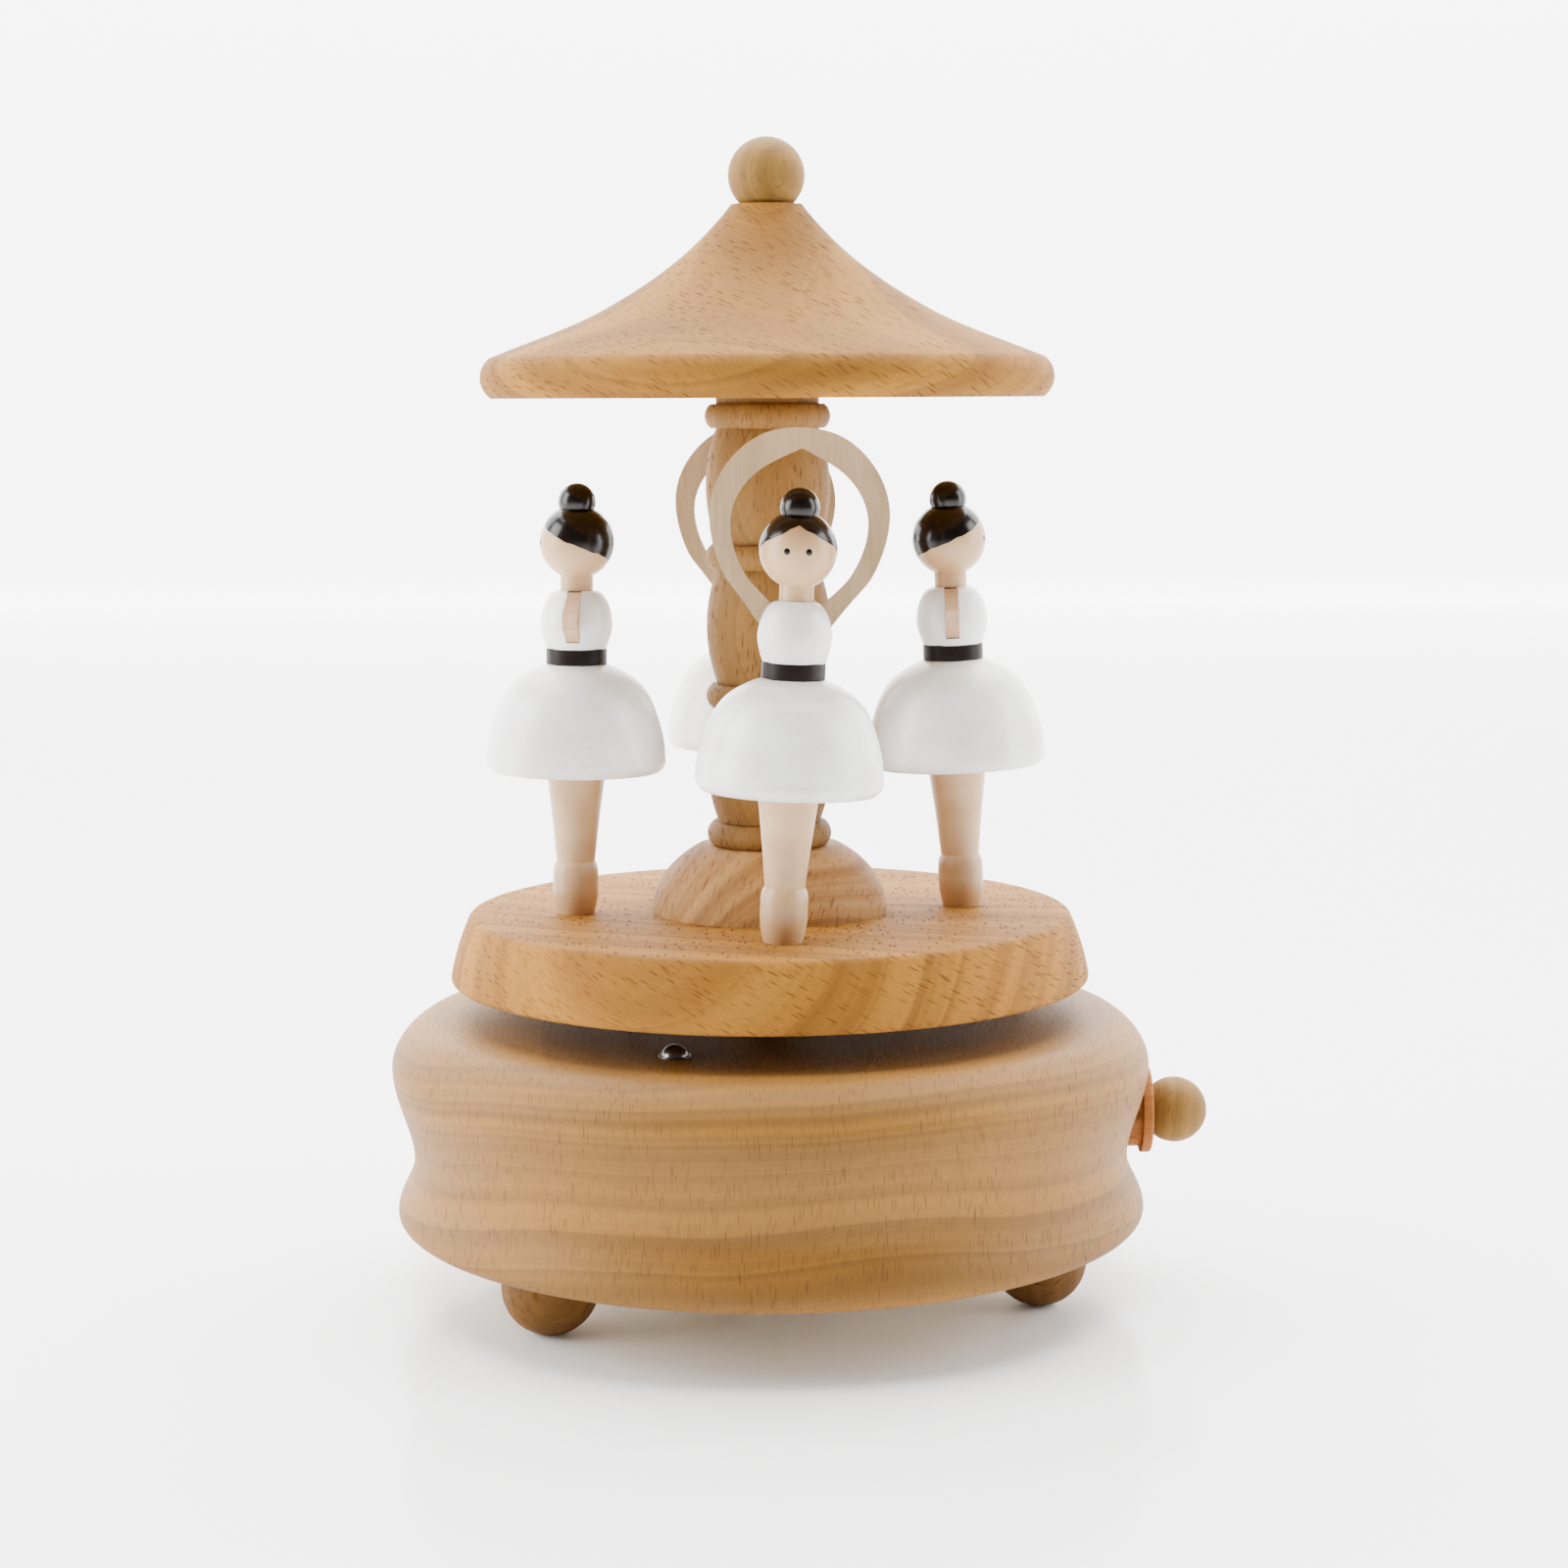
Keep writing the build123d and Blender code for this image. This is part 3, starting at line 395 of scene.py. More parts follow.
class Wood(Enum):
    """Each turned piece is cut its own way out of the log."""

    # End grain at the front and back: wavy bands, thin dashes and a soft sheen.
    BASE = TurnedBeech("satin_beech_end_grain", grain=(0.03, 1.0, 0.02), radial=(0.0, 0.0, 1.0),
                       pith=(-230.0, 10.0), light="#996b2b", dark="#6b491c", ring_width=4.6,
                       ray_share=0.55, ring_depth=0.66, ray_size=(4.4, 0.34, 2.6),
                       roughness=0.50)
    # Sawn at a slant: slow slanting rings and dark dashes, hardly any shine.
    TABLE = TurnedBeech("satin_beech_platform", grain=(0.72, -0.58, -0.38), radial=(-0.60, -0.72, 0.34),
                        pith=(-80.0, 0.0), light="#a6722b", dark="#70481a", ring_width=4.0,
                        ray_share=0.80, ring_depth=0.55, ray_size=(4.6, 0.40, 3.4), specular=0.07)
    # Paler, with close rings that curve over the mound.
    DOME = TurnedBeech("satin_beech_dome", grain=(0.1, 1.0, 0.15), radial=(0.3, 0.0, 1.0),
                       pith=(48.0, -6.0), light="#b98b52", dark="#805424", ring_width=2.8)
    # Grain upright: short upright dashes, browner than the platform.
    COLUMN = TurnedBeech("satin_beech_column", grain=(0.0, 0.0, 1.0), radial=(0.25, -1.0, 0.0),
                         pith=(-60.0, 5.0), light="#936a33", dark="#6c4b1e", ray_share=0.75,
                         ray_size=(2.4, 0.40, 3.0))
    # From the same stock as the platform: dashes and slow bands that slant.
    ROOF = TurnedBeech("satin_beech_roof", grain=(0.70, -0.62, -0.34), radial=(-0.60, -0.68, 0.42),
                       pith=(-90.0, 10.0), light="#a0702a", dark="#6f491b", ring_width=4.0,
                       ray_share=0.80, ring_depth=0.60, ray_size=(4.6, 0.40, 3.4), specular=0.07)
    # Redder steamed beech: a warm orange ring against the paler base.
    FLANGE = TurnedBeech("red_beech_flange", grain=(1.0, 0.0, 0.1), radial=(0.0, 0.0, 1.0),
                         light="#a7652f", dark="#85501f")
    # Darker stock: brown balls that look almost plain.
    FOOT = TurnedBeech("dark_beech_feet", grain=(0.2, 0.1, 1.0), radial=(1.0, 0.0, 0.0),
                       pith=(-40.0, 3.0), light="#7d5622", dark="#583a15")
    # Lotus wood: pale greenish yellow with thin faint dashes.
    PALE = TurnedBeech("pale_lotus_wood", grain=(0.1, 0.1, 1.0), radial=(1.0, 0.2, 0.0), pith=(-30.0, 4.0),
                       light="#957034", dark="#735323", ray="#57401c", ray_share=0.4,
                       ray_size=(2.4, 0.4, 3.0), ring_width=2.2)


class Paint(Enum):
    """The paints and the bare arms of the dancers."""

    # Dipped: an even satin white with soft highlights on the skirts.
    WHITE = Lacquer("white_satin_lacquer", roughness=0.34, coat=0.25, specks=0.5, relief=0.08)
    # Brushed: warm pale beige, duller than the white.
    SKIN = Lacquer("skin_tone_lacquer", colour="#c6a177", thin="#b38c5f", speck="#8a633b",
                   roughness=0.38, coat=0.12, specks=0.25)
    # Brushed gloss: almost black, with a small sharp highlight on each bun.
    HAIR = Lacquer("black_brown_gloss_paint", colour="#090504", thin="#100906", speck="#24180f",
                   roughness=0.22, specular=0.35, specks=0.15)
    # A thin brushed band: almost black, and dull.
    BELT = Lacquer("dark_brown_paint", colour="#110907", thin="#190f0b", speck="#2c1d14",
                   roughness=0.40, specular=0.12, specks=0.2)
    # Sawn and sanded sheet: pale beige with fine streaks, no shine.
    ARMS = SandedPlywood("sanded_birch_plywood", roughness=0.58)
    # The same sheet on the arms seen edge on at the sides: paler and pinker, a painted light that stands for
    # the warm bounce from the skirts below.
    ARMS_BOUNCE_LIT = SandedPlywood("sanded_plywood_painted_bounce_light", roughness=0.55, light="#d3b08e", dark="#b8926d")


METALS = {
    # Drawn and plated: bright, with fine marks along it.
    "steel": Worked("bright_zinc_plated_steel", colour="#c4c5c7", worn="#96979a", metallic=1.0,
                    roughness=0.28),
    # Oxide on polished steel: dark brown grey with a clear highlight.
    "dark_steel": Worked("blackened_steel", colour="#57524d", worn="#8a8580", metallic=1.0,
                         roughness=0.30),
    # Turned and bare: warm yellow, brown where it was handled.
    "brass": Worked("turned_brass", colour="#d8b35f", worn="#a8813a", metallic=1.0, roughness=0.28),
    # As cast: grey, dull and slightly grainy.
    "zinc_casting": Worked("cast_zinc_alloy", colour="#a5a6a8", worn="#838487", metallic=1.0,
                           roughness=0.45, marks=(0.5, 0.5, 0.5), relief=0.02),
    # Moulded: milky off-white with a soft gloss.
    "white_nylon": Worked("moulded_white_nylon", colour="#e6e3d8", worn="#d5d0c1", roughness=0.42,
                          marks=(0.8, 0.8, 0.8)),
}
BARE = {
    # Sanded board: pale yellow with streaks along it.
    "plywood": SandedPlywood("birch_plywood_board", roughness=0.6, light="#d3b98d", dark="#ad9166",
                             along=(9.0, 0.4, 0.4)),
    # Raw rod: pale beige and dull.
    "dowel_wood": SandedPlywood("raw_birch_dowel", roughness=0.6),
}


class Materials:
    """Builds each finish once and hands it out again."""

    def __init__(self) -> None:
        """Start with nothing built."""
        self.made: dict[str, bpy.types.Material] = {}

    def of(self, finish: Finish) -> bpy.types.Material:
        """Give the material of a finish.

        Args:
            finish: what the surface is.

        Returns:
            Its material, built if it is the first time.
        """
        if finish.name not in self.made:
            self.made[finish.name] = finish.build()
        return self.made[finish.name]


MATERIALS = Materials()


# ---------------------------------------------------------------- profiles
def arc(start: Point, middle: Point, end: Point, count: int = 24) -> np.ndarray:
    """Points on the circle through three points.

    The centre is equally far from all three, and the angle runs evenly from start to end
    on the side of the middle point.

    Args:
        start: first point.
        middle: any point between.
        end: last point.
        count: how many points to give.

    Returns:
        Rows of (radius, height).
    """
    a, b, c = (np.array(p, float) for p in (start, middle, end))
    square = 2 * np.array([b - a, c - a])
    centre = np.linalg.solve(square, [b @ b - a @ a, c @ c - a @ a])
    first, mid, last = (math.atan2(*(p - centre)[::-1]) for p in (a, b, c))
    sweep = (last - first) % ROUND
    if (mid - first) % ROUND > sweep:
        sweep -= ROUND
    angle = first + np.linspace(0, sweep, count)
    return centre + np.hypot(*(a - centre)) * np.stack([np.cos(angle), np.sin(angle)], 1)


def flowing(points: Sequence[Point], start: Optional[Point] = None, end: Optional[Point] = None,
            count: int = 18) -> np.ndarray:
    """A smooth curve through points.

    Between two points it is the cubic with the points' own slopes, and a point's slope is
    that of the line between its neighbours.

    Args:
        points: what the curve goes through.
        start: direction at the first point.
        end: direction at the last point.
        count: steps between two points.

    Returns:
        The curve's points.
    """
    p = np.array(points, float)
    along = np.concatenate([[0], np.cumsum(np.hypot(*np.diff(p, axis=0).T))])
    slope = np.gradient(p, along, axis=0)
    for place, given in ((0, start), (-1, end)):
        if given:
            slope[place] = np.array(given) / np.hypot(*given)
    step = np.diff(along)[:, None, None]
    t = np.linspace(0, 1, count, endpoint=False)[None, :, None]
    a, b = p[:-1, None], p[1:, None]
    m, n = slope[:-1, None], slope[1:, None]
    curve = ((2 * t**3 - 3 * t**2 + 1) * a + (t**3 - 2 * t**2 + t) * step * m
             + (3 * t**2 - 2 * t**3) * b + (t**3 - t**2) * step * n)
    return np.vstack([curve.reshape(-1, 2), p[-1:]])


def eased(corners: Sequence[tuple[float, float, float]], count: int = 7) -> np.ndarray:
    """A path of straight runs whose corners are rounded.

    Each corner is (radius from the axis, height, how far back the rounding starts), and the
    rounding is the quadratic curve that is drawn towards the corner.

    Args:
        corners: the corners in order.
        count: points to each rounding.

    Returns:
        Rows of (radius, height).
    """
    p = np.array(corners, float)
    path = [p[:1, :2]]
    for before, here, after in zip(p[:-2], p[1:-1], p[2:]):
        reach = here[2]
        if reach <= 0:
            path.append(here[None, :2])
            continue
        back = (before - here)[:2] / np.hypot(*(before - here)[:2])
        on = (after - here)[:2] / np.hypot(*(after - here)[:2])
        t = np.linspace(0, 1, count)[:, None]
        path.append(here[:2] + (1 - t) ** 2 * reach * back + t**2 * reach * on)
    return np.vstack([*path, p[-1:, :2]])


def joined(*runs: np.ndarray) -> np.ndarray:
    """Join runs of a profile end to end, and leave out points that fall together.

    Args:
        runs: the runs in order.

    Returns:
        One profile.
    """
    path = np.vstack(runs)
    keep = np.concatenate([[True], np.hypot(*np.diff(path, axis=0).T) > 1e-4])
    return path[keep]


def ball(radius: float, centre: float, low: float, high: float = 90.0, count: int = 40) -> np.ndarray:
    """Profile of a ball: radius is cos and height is sin of the latitude.

    Args:
        radius: the ball's radius.
        centre: height of its middle.
        low: latitude where the profile starts.
        high: latitude where it ends.
        count: how many points to give.

    Returns:
        Rows of (radius, height).
    """
    angle = np.radians(np.linspace(low, high, count))
    path = np.stack([radius * np.cos(angle), centre + radius * np.sin(angle)], 1)
    path[np.abs(path[:, 0]) < 1e-9, 0] = 0.0
    return path


# ---------------------------------------------------------------- meshes
@dataclass
class Shell:
    """Vertices in millimetres with their faces, before they become a Blender mesh."""

    points: np.ndarray
    faces: list[list[int]]

    def placed(self, matrix: Matrix) -> "Shell":
        """The same shell moved by a 4 by 4 matrix in millimetres."""
        m = np.array(matrix)
        return Shell(self.points @ m[:3, :3].T + m[:3, 3], self.faces)

    def with_(self, other: "Shell") -> "Shell":
        """Join another shell to this one.

        Args:
            other: the shell to add.

        Returns:
            Both as one.
        """
        offset = len(self.points)
        more = [[index + offset for index in face] for face in other.faces]
        return Shell(np.vstack([self.points, other.points]), self.faces + more)

    def object(self, name: str, crease: float = CREASE) -> bpy.types.Object:
        """Write the shell as an object at the origin.

        Args:
            name: the piece's name.
            crease: edges sharper than this stay sharp.

        Returns:
            The object.
        """
        mesh = bpy.data.meshes.new(name)
        mesh.from_pydata((self.points * MM).tolist(), [], self.faces)
        mesh.shade_smooth()
        mesh.set_sharp_from_angle(angle=math.radians(crease))
        mesh.update()
        made = bpy.data.objects.new(name, mesh)
        bpy.context.scene.collection.objects.link(made)
        return made


def bands(rows: int, steps: int, closed: bool = False) -> list[list[int]]:
    """Four-cornered faces between rings of points that stand one above another.

    Args:
        rows: how many rings there are.
        steps: how many points a ring has.
        closed: True if the last ring joins the first.

    Returns:
        The faces.
    """
    this = np.arange(rows if closed else rows - 1)[:, None] * steps
    above = (this + steps) % (rows * steps)
    here = np.arange(steps)
    there = (here + 1) % steps
    return np.stack([this + here, this + there, above + there, above + here], -1).reshape(-1, 4).tolist()


def fan(first: int, steps: int, tip: int, above: bool) -> list[list[int]]:
    """Triangles that close a ring of points at one tip.

    Args:
        first: number of the ring's first point.
        steps: how many points the ring has.
        tip: number of the point where they meet.
        above: True if the tip is over the ring, which turns them the other way.

    Returns:
        The faces.
    """
    here = first + np.arange(steps)
    there = first + (np.arange(steps) + 1) % steps
    point = np.full(steps, tip)
    return np.stack([here, there, point] if above else [point, there, here], 1).tolist()


def turned(profile: np.ndarray, steps: int = 160, closed: bool = False) -> Shell:
    """Carry a profile round Z.

    A point (r, z) of the profile at angle a is (r cos a, r sin a, z).  The profile runs up
    its outer side, so the faces look outwards.  An end on the axis is one point.

    Args:
        profile: rows of (radius, height).
        steps: how many times the profile stands round the axis.
        closed: True if the profile's last point joins its first, as for a hollow piece.

    Returns:
        The shell.
    """
    poles = profile[:, 0] < 1e-9
    rows = profile[~poles]
    angle = np.linspace(0, ROUND, steps, endpoint=False)
    points = np.stack([np.outer(rows[:, 0], np.cos(angle)), np.outer(rows[:, 0], np.sin(angle)),
                       np.repeat(rows[:, 1:], steps, 1)], -1).reshape(-1, 3)
    faces = bands(len(rows), steps, closed)
    if poles[0]:
        faces += fan(0, steps, len(points), above=False)
        points = np.vstack([points, [[0, 0, profile[0, 1]]]])
    if poles[-1]:
        faces += fan((len(rows) - 1) * steps, steps, len(points), above=True)
        points = np.vstack([points, [[0, 0, profile[-1, 1]]]])
    return Shell(points, faces)


def cut_away(piece: bpy.types.Object, *cutters: Shell) -> bpy.types.Object:
    """Take closed shells out of a piece, and write the result into its mesh.

    Args:
        piece: the object to cut.
        cutters: what is taken out.

    Returns:
        The same object.
    """
    for number, shell in enumerate(cutters):
        cutter = shell.object(f"cutter_{number}")
        change = piece.modifiers.new("cut", "BOOLEAN")
        change.operation = "DIFFERENCE"
        change.solver = "EXACT"
        change.object = cutter
        bpy.context.view_layer.update()
        cut = bpy.data.meshes.new_from_object(piece.evaluated_get(bpy.context.evaluated_depsgraph_get()))
        piece.modifiers.clear()
        piece.data = cut
        bpy.data.objects.remove(cutter)
    piece.data.shade_smooth()
    piece.data.set_sharp_from_angle(angle=math.radians(CUT_CREASE))
    return piece


def slab(low: Vector3, high: Vector3) -> Shell:
    """A block between two corners.

    Args:
        low: the corner with the smallest coordinates.
        high: the corner opposite.

    Returns:
        The shell.
    """
    x, y, z = zip(low, high)
    points = np.array([(a, b, c) for c in z for b in y for a in x])
    faces = [[0, 2, 3, 1], [4, 5, 7, 6], [0, 1, 5, 4], [2, 6, 7, 3], [0, 4, 6, 2], [1, 3, 7, 5]]
    return Shell(points, faces)


def rod_shape(radius: float, bottom: float, top: float, steps: int = 64) -> Shell:
    """A plain rod on Z, closed at both ends."""
    return turned(np.array([(0, bottom), (radius, bottom), (radius, top), (0, top)]), steps)


def about(angle: float, axis: str) -> Matrix:
    """A turn in degrees about a named axis."""
    return Matrix.Rotation(math.radians(angle), 4, axis)


def scaled(factor: float) -> Matrix:
    """A scaling by one factor."""
    return Matrix.Diagonal((factor, factor, factor, 1))


def shift(x: float, y: float, z: float) -> Matrix:
    """A move in millimetres."""
    return Matrix.Translation((x, y, z))


def dress(piece: bpy.types.Object, finish: Finish, body: str, slot: str, *nodes: str) -> bpy.types.Object:
    """Finish a piece: its material, the body it rides and the CAD nodes it stands for.

    Args:
        piece: the object, in place.
        finish: what its surface is.
        body: CAD body that carries it.
        slot: material slot of the record; not used.
        nodes: CAD nodes that it replaces.

    Returns:
        The same object.
    """
    piece.data.materials.clear()
    piece.data.materials.append(MATERIALS.of(finish))
    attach(piece, body)
    if nodes:
        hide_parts(*nodes)
    LOG.info("%s: %d faces, rides on %s", piece.name, len(piece.data.polygons), body)
    return piece


# ---------------------------------------------------------------- base
@dataclass
class Base:
    """The turned base with its feet, tacks and the knob's flange."""

    radius: float = 57.5
    bottom: float = 10.0
    height: float = 32.3
    belly: float = 25.0
    waist_depth: float = 3.0
    waist: float = 9.5
    bead_depth: float = 0.6
    bead: float = 2.9
    shoulder: float = 7.2
    rebate: float = 50.25
    land: float = 0.8               # flat rim round the bottom board
    board_top: float = 14.0
    pocket: float = 44.0
    ceiling: float = 35.0
    bush: float = 4.0
    foot: float = 7.16
    foot_centre: float = 7.04
    foot_circle: float = 42.4
    foot_angles: tuple[float, ...] = (-49.3, 70.7, 190.7)
    tack: float = 2.35
    tack_height: float = 1.8
    tack_rim: float = 0.45
    tack_rim_height: float = 0.28
    pin: float = 0.8
    pin_length: float = 4.0
    tack_circle: float = 37.4
    tack_angles: tuple[float, ...] = (-21.3, 98.7, 218.7)
    knob_height: float = 26.4
    knob_seat: float = 56.5
    flange: float = 6.55
    flange_thickness: float = 1.6
    flange_clearance: float = 0.2
    boss: float = 5.6
    boss_length: float = 7.5
    rod_hole: float = 0.85
    overrun: float = 4.0            # how far a cutter stands out of the wood

    @property
    def top(self) -> float:
        """Height of the top face."""
        return self.bottom + self.height

    def housing(self) -> None:
        """Bead, waist, belly and shoulder outside; the hollow for the movement inside."""
        r, low, top = self.radius, self.bottom, self.top
        bead = (r - self.bead_depth, low + self.bead)
        belly = (r, low + self.belly)
        outside = joined(
            flowing([(self.rebate + self.land, low), bead], (1, 0.02), (0, 1), 22),
            flowing([bead, (r - self.waist_depth, low + self.waist), belly], (0, 1), (0, 1), 34),
            flowing([belly, (r - self.shoulder, top)], (0, 1), (-1, 0), 34))
        inside = np.array([(self.bush, top), (self.bush, self.ceiling), (self.pocket, self.ceiling),
                           (self.pocket, self.board_top), (self.rebate, self.board_top),
                           (self.rebate, low)])
        piece = turned(joined(outside, inside), 256, closed=True).object("base_turned")
        lie = shift(0, 0, self.knob_height) @ about(90, "Y")
        seat, out = self.knob_seat, self.radius + self.overrun
        cut_away(piece,
                 rod_shape(self.flange + self.flange_clearance, seat, out, 96).placed(lie),
                 rod_shape(self.boss, seat - self.boss_length, out, 96).placed(lie),
                 rod_shape(2 * self.rod_hole, self.pocket - self.overrun / 2, seat, 48).placed(lie))
        dress(piece, Wood.BASE.value, "base", "beech_base", "base_housing")

    def feet(self) -> None:
        """Ball feet with a small sanded flat below and a larger one above."""
        floor = -math.degrees(math.asin(self.foot_centre / self.foot))
        under = math.degrees(math.asin((self.bottom - self.foot_centre) / self.foot))
        profile = joined(np.array([(0.0, 0.0)]), ball(self.foot, self.foot_centre, floor, under),
                         np.array([(0.0, self.bottom)]))
        for number, angle in enumerate(self.foot_angles, start=1):
            place = about(angle, "Z") @ shift(0, -self.foot_circle, 0)
            piece = turned(profile, 72).placed(place).object(f"foot_{number}_turned")
            dress(piece, Wood.FOOT.value, "base", "foot_wood", f"foot_{number}")

    def tacks(self) -> None:
        """Three domed tack heads on the top face, each with a thin flat rim."""
        rim, thick, pin, deep, soft = self.tack_rim, self.tack_rim_height, self.pin, -self.pin_length, 0.08
        dome = arc((self.tack - rim, thick), (0.62 * self.tack, 0.68 * self.tack_height),
                   (0.0, self.tack_height), 18)
        dome[-1, 0] = 0.0
        profile = joined(eased([(0, deep, 0), (pin, deep, 0), (pin, 0, 0), (self.tack, 0, soft),
                                (self.tack, thick, soft), (self.tack - rim, thick, 0)]), dome)
        shells = [turned(profile, 48).placed(about(a, "Z") @ shift(0, -self.tack_circle, self.top))
                  for a in self.tack_angles]
        piece = shells[0].with_(shells[1]).with_(shells[2]).object("tacks_domed")
        dress(piece, METALS["dark_steel"], "base", "dark_steel", "bumper_tacks")

    def flange_bush(self) -> None:
        """Flat ring and boss that guide the stop rod."""
        outer, bore, thick = self.flange, self.rod_hole, self.flange_thickness
        profile = eased([(bore, -self.boss_length, 0), (self.boss, -self.boss_length, 0),
                         (self.boss, 0, 0), (outer, 0, 0.15), (outer, thick, 0.5),
                         (bore, thick, 0.1), (bore, thick / 2, 0)])
        lie = shift(self.knob_seat, 0, self.knob_height) @ about(90, "Y")
        piece = turned(profile, 96, closed=True).placed(lie).object("knob_flange_turned")
        dress(piece, Wood.FLANGE.value, "base", "red_beech", "knob_bush")

    def build(self) -> None:
        """Make all of the base."""
        self.housing()
        self.feet()
        self.tacks()
        self.flange_bush()


# ---------------------------------------------------------------- carousel
@dataclass
class Carousel:
    """Everything wooden that turns: platform, dome, column, roof and finial."""

    platform: float = 48.5
    taper: float = 3.1
    low: float = 47.8
    thickness: float = 10.0
    edge: float = 0.9
    fullness: float = 0.5           # how far the side swells
    side_ease: float = 3.2
    dome: float = 17.8
    dome_rise: float = 12.6
    dome_height: float = 10.0
    ring: float = 9.4
    ring_height: float = 3.6
    ring_edge: float = 0.9
    bulge: float = 9.3
    bulge_length: float = 17.3
    bulges: int = 3
    neck: float = 7.7
    collar: float = 0.9
    roof: float = 42.7
    roof_height: float = 28.4
    roof_top: float = 5.3
    rim_under: float = 1.6          # how far in the rim starts below
    rim_over: float = 1.5           # and ends above
    finial: float = 5.7
    seat: float = 3.85

    @property
    def top(self) -> float:
        """Height of the platform's upper face."""
        return self.low + self.thickness

    @property
    def column_bottom(self) -> float:
        """Height where the column stands on the dome."""
        return self.top + self.dome_height

    @property
    def roof_bottom(self) -> float:
        """Height of the roof's flat underside."""
        turns = self.bulges * (self.ring_height + self.bulge_length)
        return self.column_bottom + turns + self.ring_height + self.collar

    def platform_piece(self) -> None:
        """Disc, wider below, with rounded edges and a slightly full side."""
        wide, narrow = self.platform, self.platform - self.taper
        middle = (0.5 * (wide + narrow) + self.fullness, self.low + 0.5 * self.thickness)
        profile = eased([(0, self.low, 0), (wide, self.low, self.edge), (*middle, self.side_ease),
                         (narrow, self.top, self.edge), (0, self.top, 0)])
        piece = turned(profile, 256).object("platform_turned")
        dress(piece, Wood.TABLE.value, "turntable", "beech_table", "platform")

    def dome_piece(self) -> None:
        """Low mound, cut from half an ellipse: radius is cos, height is sin of one angle."""
        angle = np.linspace(0, math.asin(self.dome_height / self.dome_rise), 40)
        side = np.stack([self.dome * np.cos(angle), self.top + self.dome_rise * np.sin(angle)], 1)
        profile = joined(np.array([(0.0, self.top)]), side, np.array([(0.0, self.column_bottom)]))
        piece = turned(profile, 160).object("dome_turned")
        dress(piece, Wood.DOME.value, "turntable", "beech_table", "dome_base")

    def column_piece(self) -> None:
        """Half-round rings with a bulge between each two."""
        runs = [np.array([(0.0, self.column_bottom)])]
        z = self.column_bottom
        for place in range(self.bulges + 1):
            top = z + self.ring_height
            side = self.ring - self.ring_edge
            runs.append(np.array([(self.neck, z)]))
            runs.append(arc((side, z), (self.ring, 0.5 * (z + top)), (side, top), 22))
            runs.append(np.array([(self.neck, top)]))
            if place < self.bulges:
                z = top + self.bulge_length
                runs.append(arc((self.neck, top), (self.bulge, 0.5 * (top + z)), (self.neck, z), 34))
        runs.append(np.array([(self.neck, self.roof_bottom), (0.0, self.roof_bottom)]))
        piece = turned(joined(*runs), 128).object("column_turned", crease=50)
        dress(piece, Wood.COLUMN.value, "turntable", "beech_table", "column")

    def roof_piece(self) -> None:
        """Bell: a rounded rim, then a hollow sweep up to a small flat top."""
        r, low, h = self.roof, self.roof_bottom, self.roof_height
        rim_top = (r - self.rim_over, low + 0.21 * h)
        rim = arc((r - self.rim_under, low), (r, low + 0.11 * h), rim_top, 26)
        sweep = flowing([rim_top, (0.56 * r, low + 0.465 * h), (0.27 * r, low + 0.765 * h),
                         (self.roof_top, low + h)], (-1, 0.42), (-0.75, 1), 40)
        profile = joined(np.array([(0.0, low)]), rim, sweep, np.array([(0.0, low + h)]))
        piece = turned(profile, 256).object("roof_turned")
        dress(piece, Wood.ROOF.value, "turntable", "beech_table", "roof")

    def finial_piece(self) -> None:
        """Ball on a small flat seat."""
        drop = math.sqrt(self.finial**2 - self.seat**2)
        seat = self.roof_bottom + self.roof_height
        low = -math.degrees(math.asin(drop / self.finial))
        profile = joined(np.array([(0.0, seat)]), ball(self.finial, seat + drop, low))
        piece = turned(profile, 96).object("finial_turned")
        dress(piece, Wood.PALE.value, "turntable", "pale_wood", "finial")

    def build(self) -> None:
        """Make all of the carousel."""
        self.platform_piece()
        self.dome_piece()
        self.column_piece()
        self.roof_piece()
        self.finial_piece()


# ---------------------------------------------------------------- dancers
class Arms(Enum):
    """How a dancer holds the arms."""

    RAISED = "rounded above the head"
    ON_WAIST = "hands on the waist"


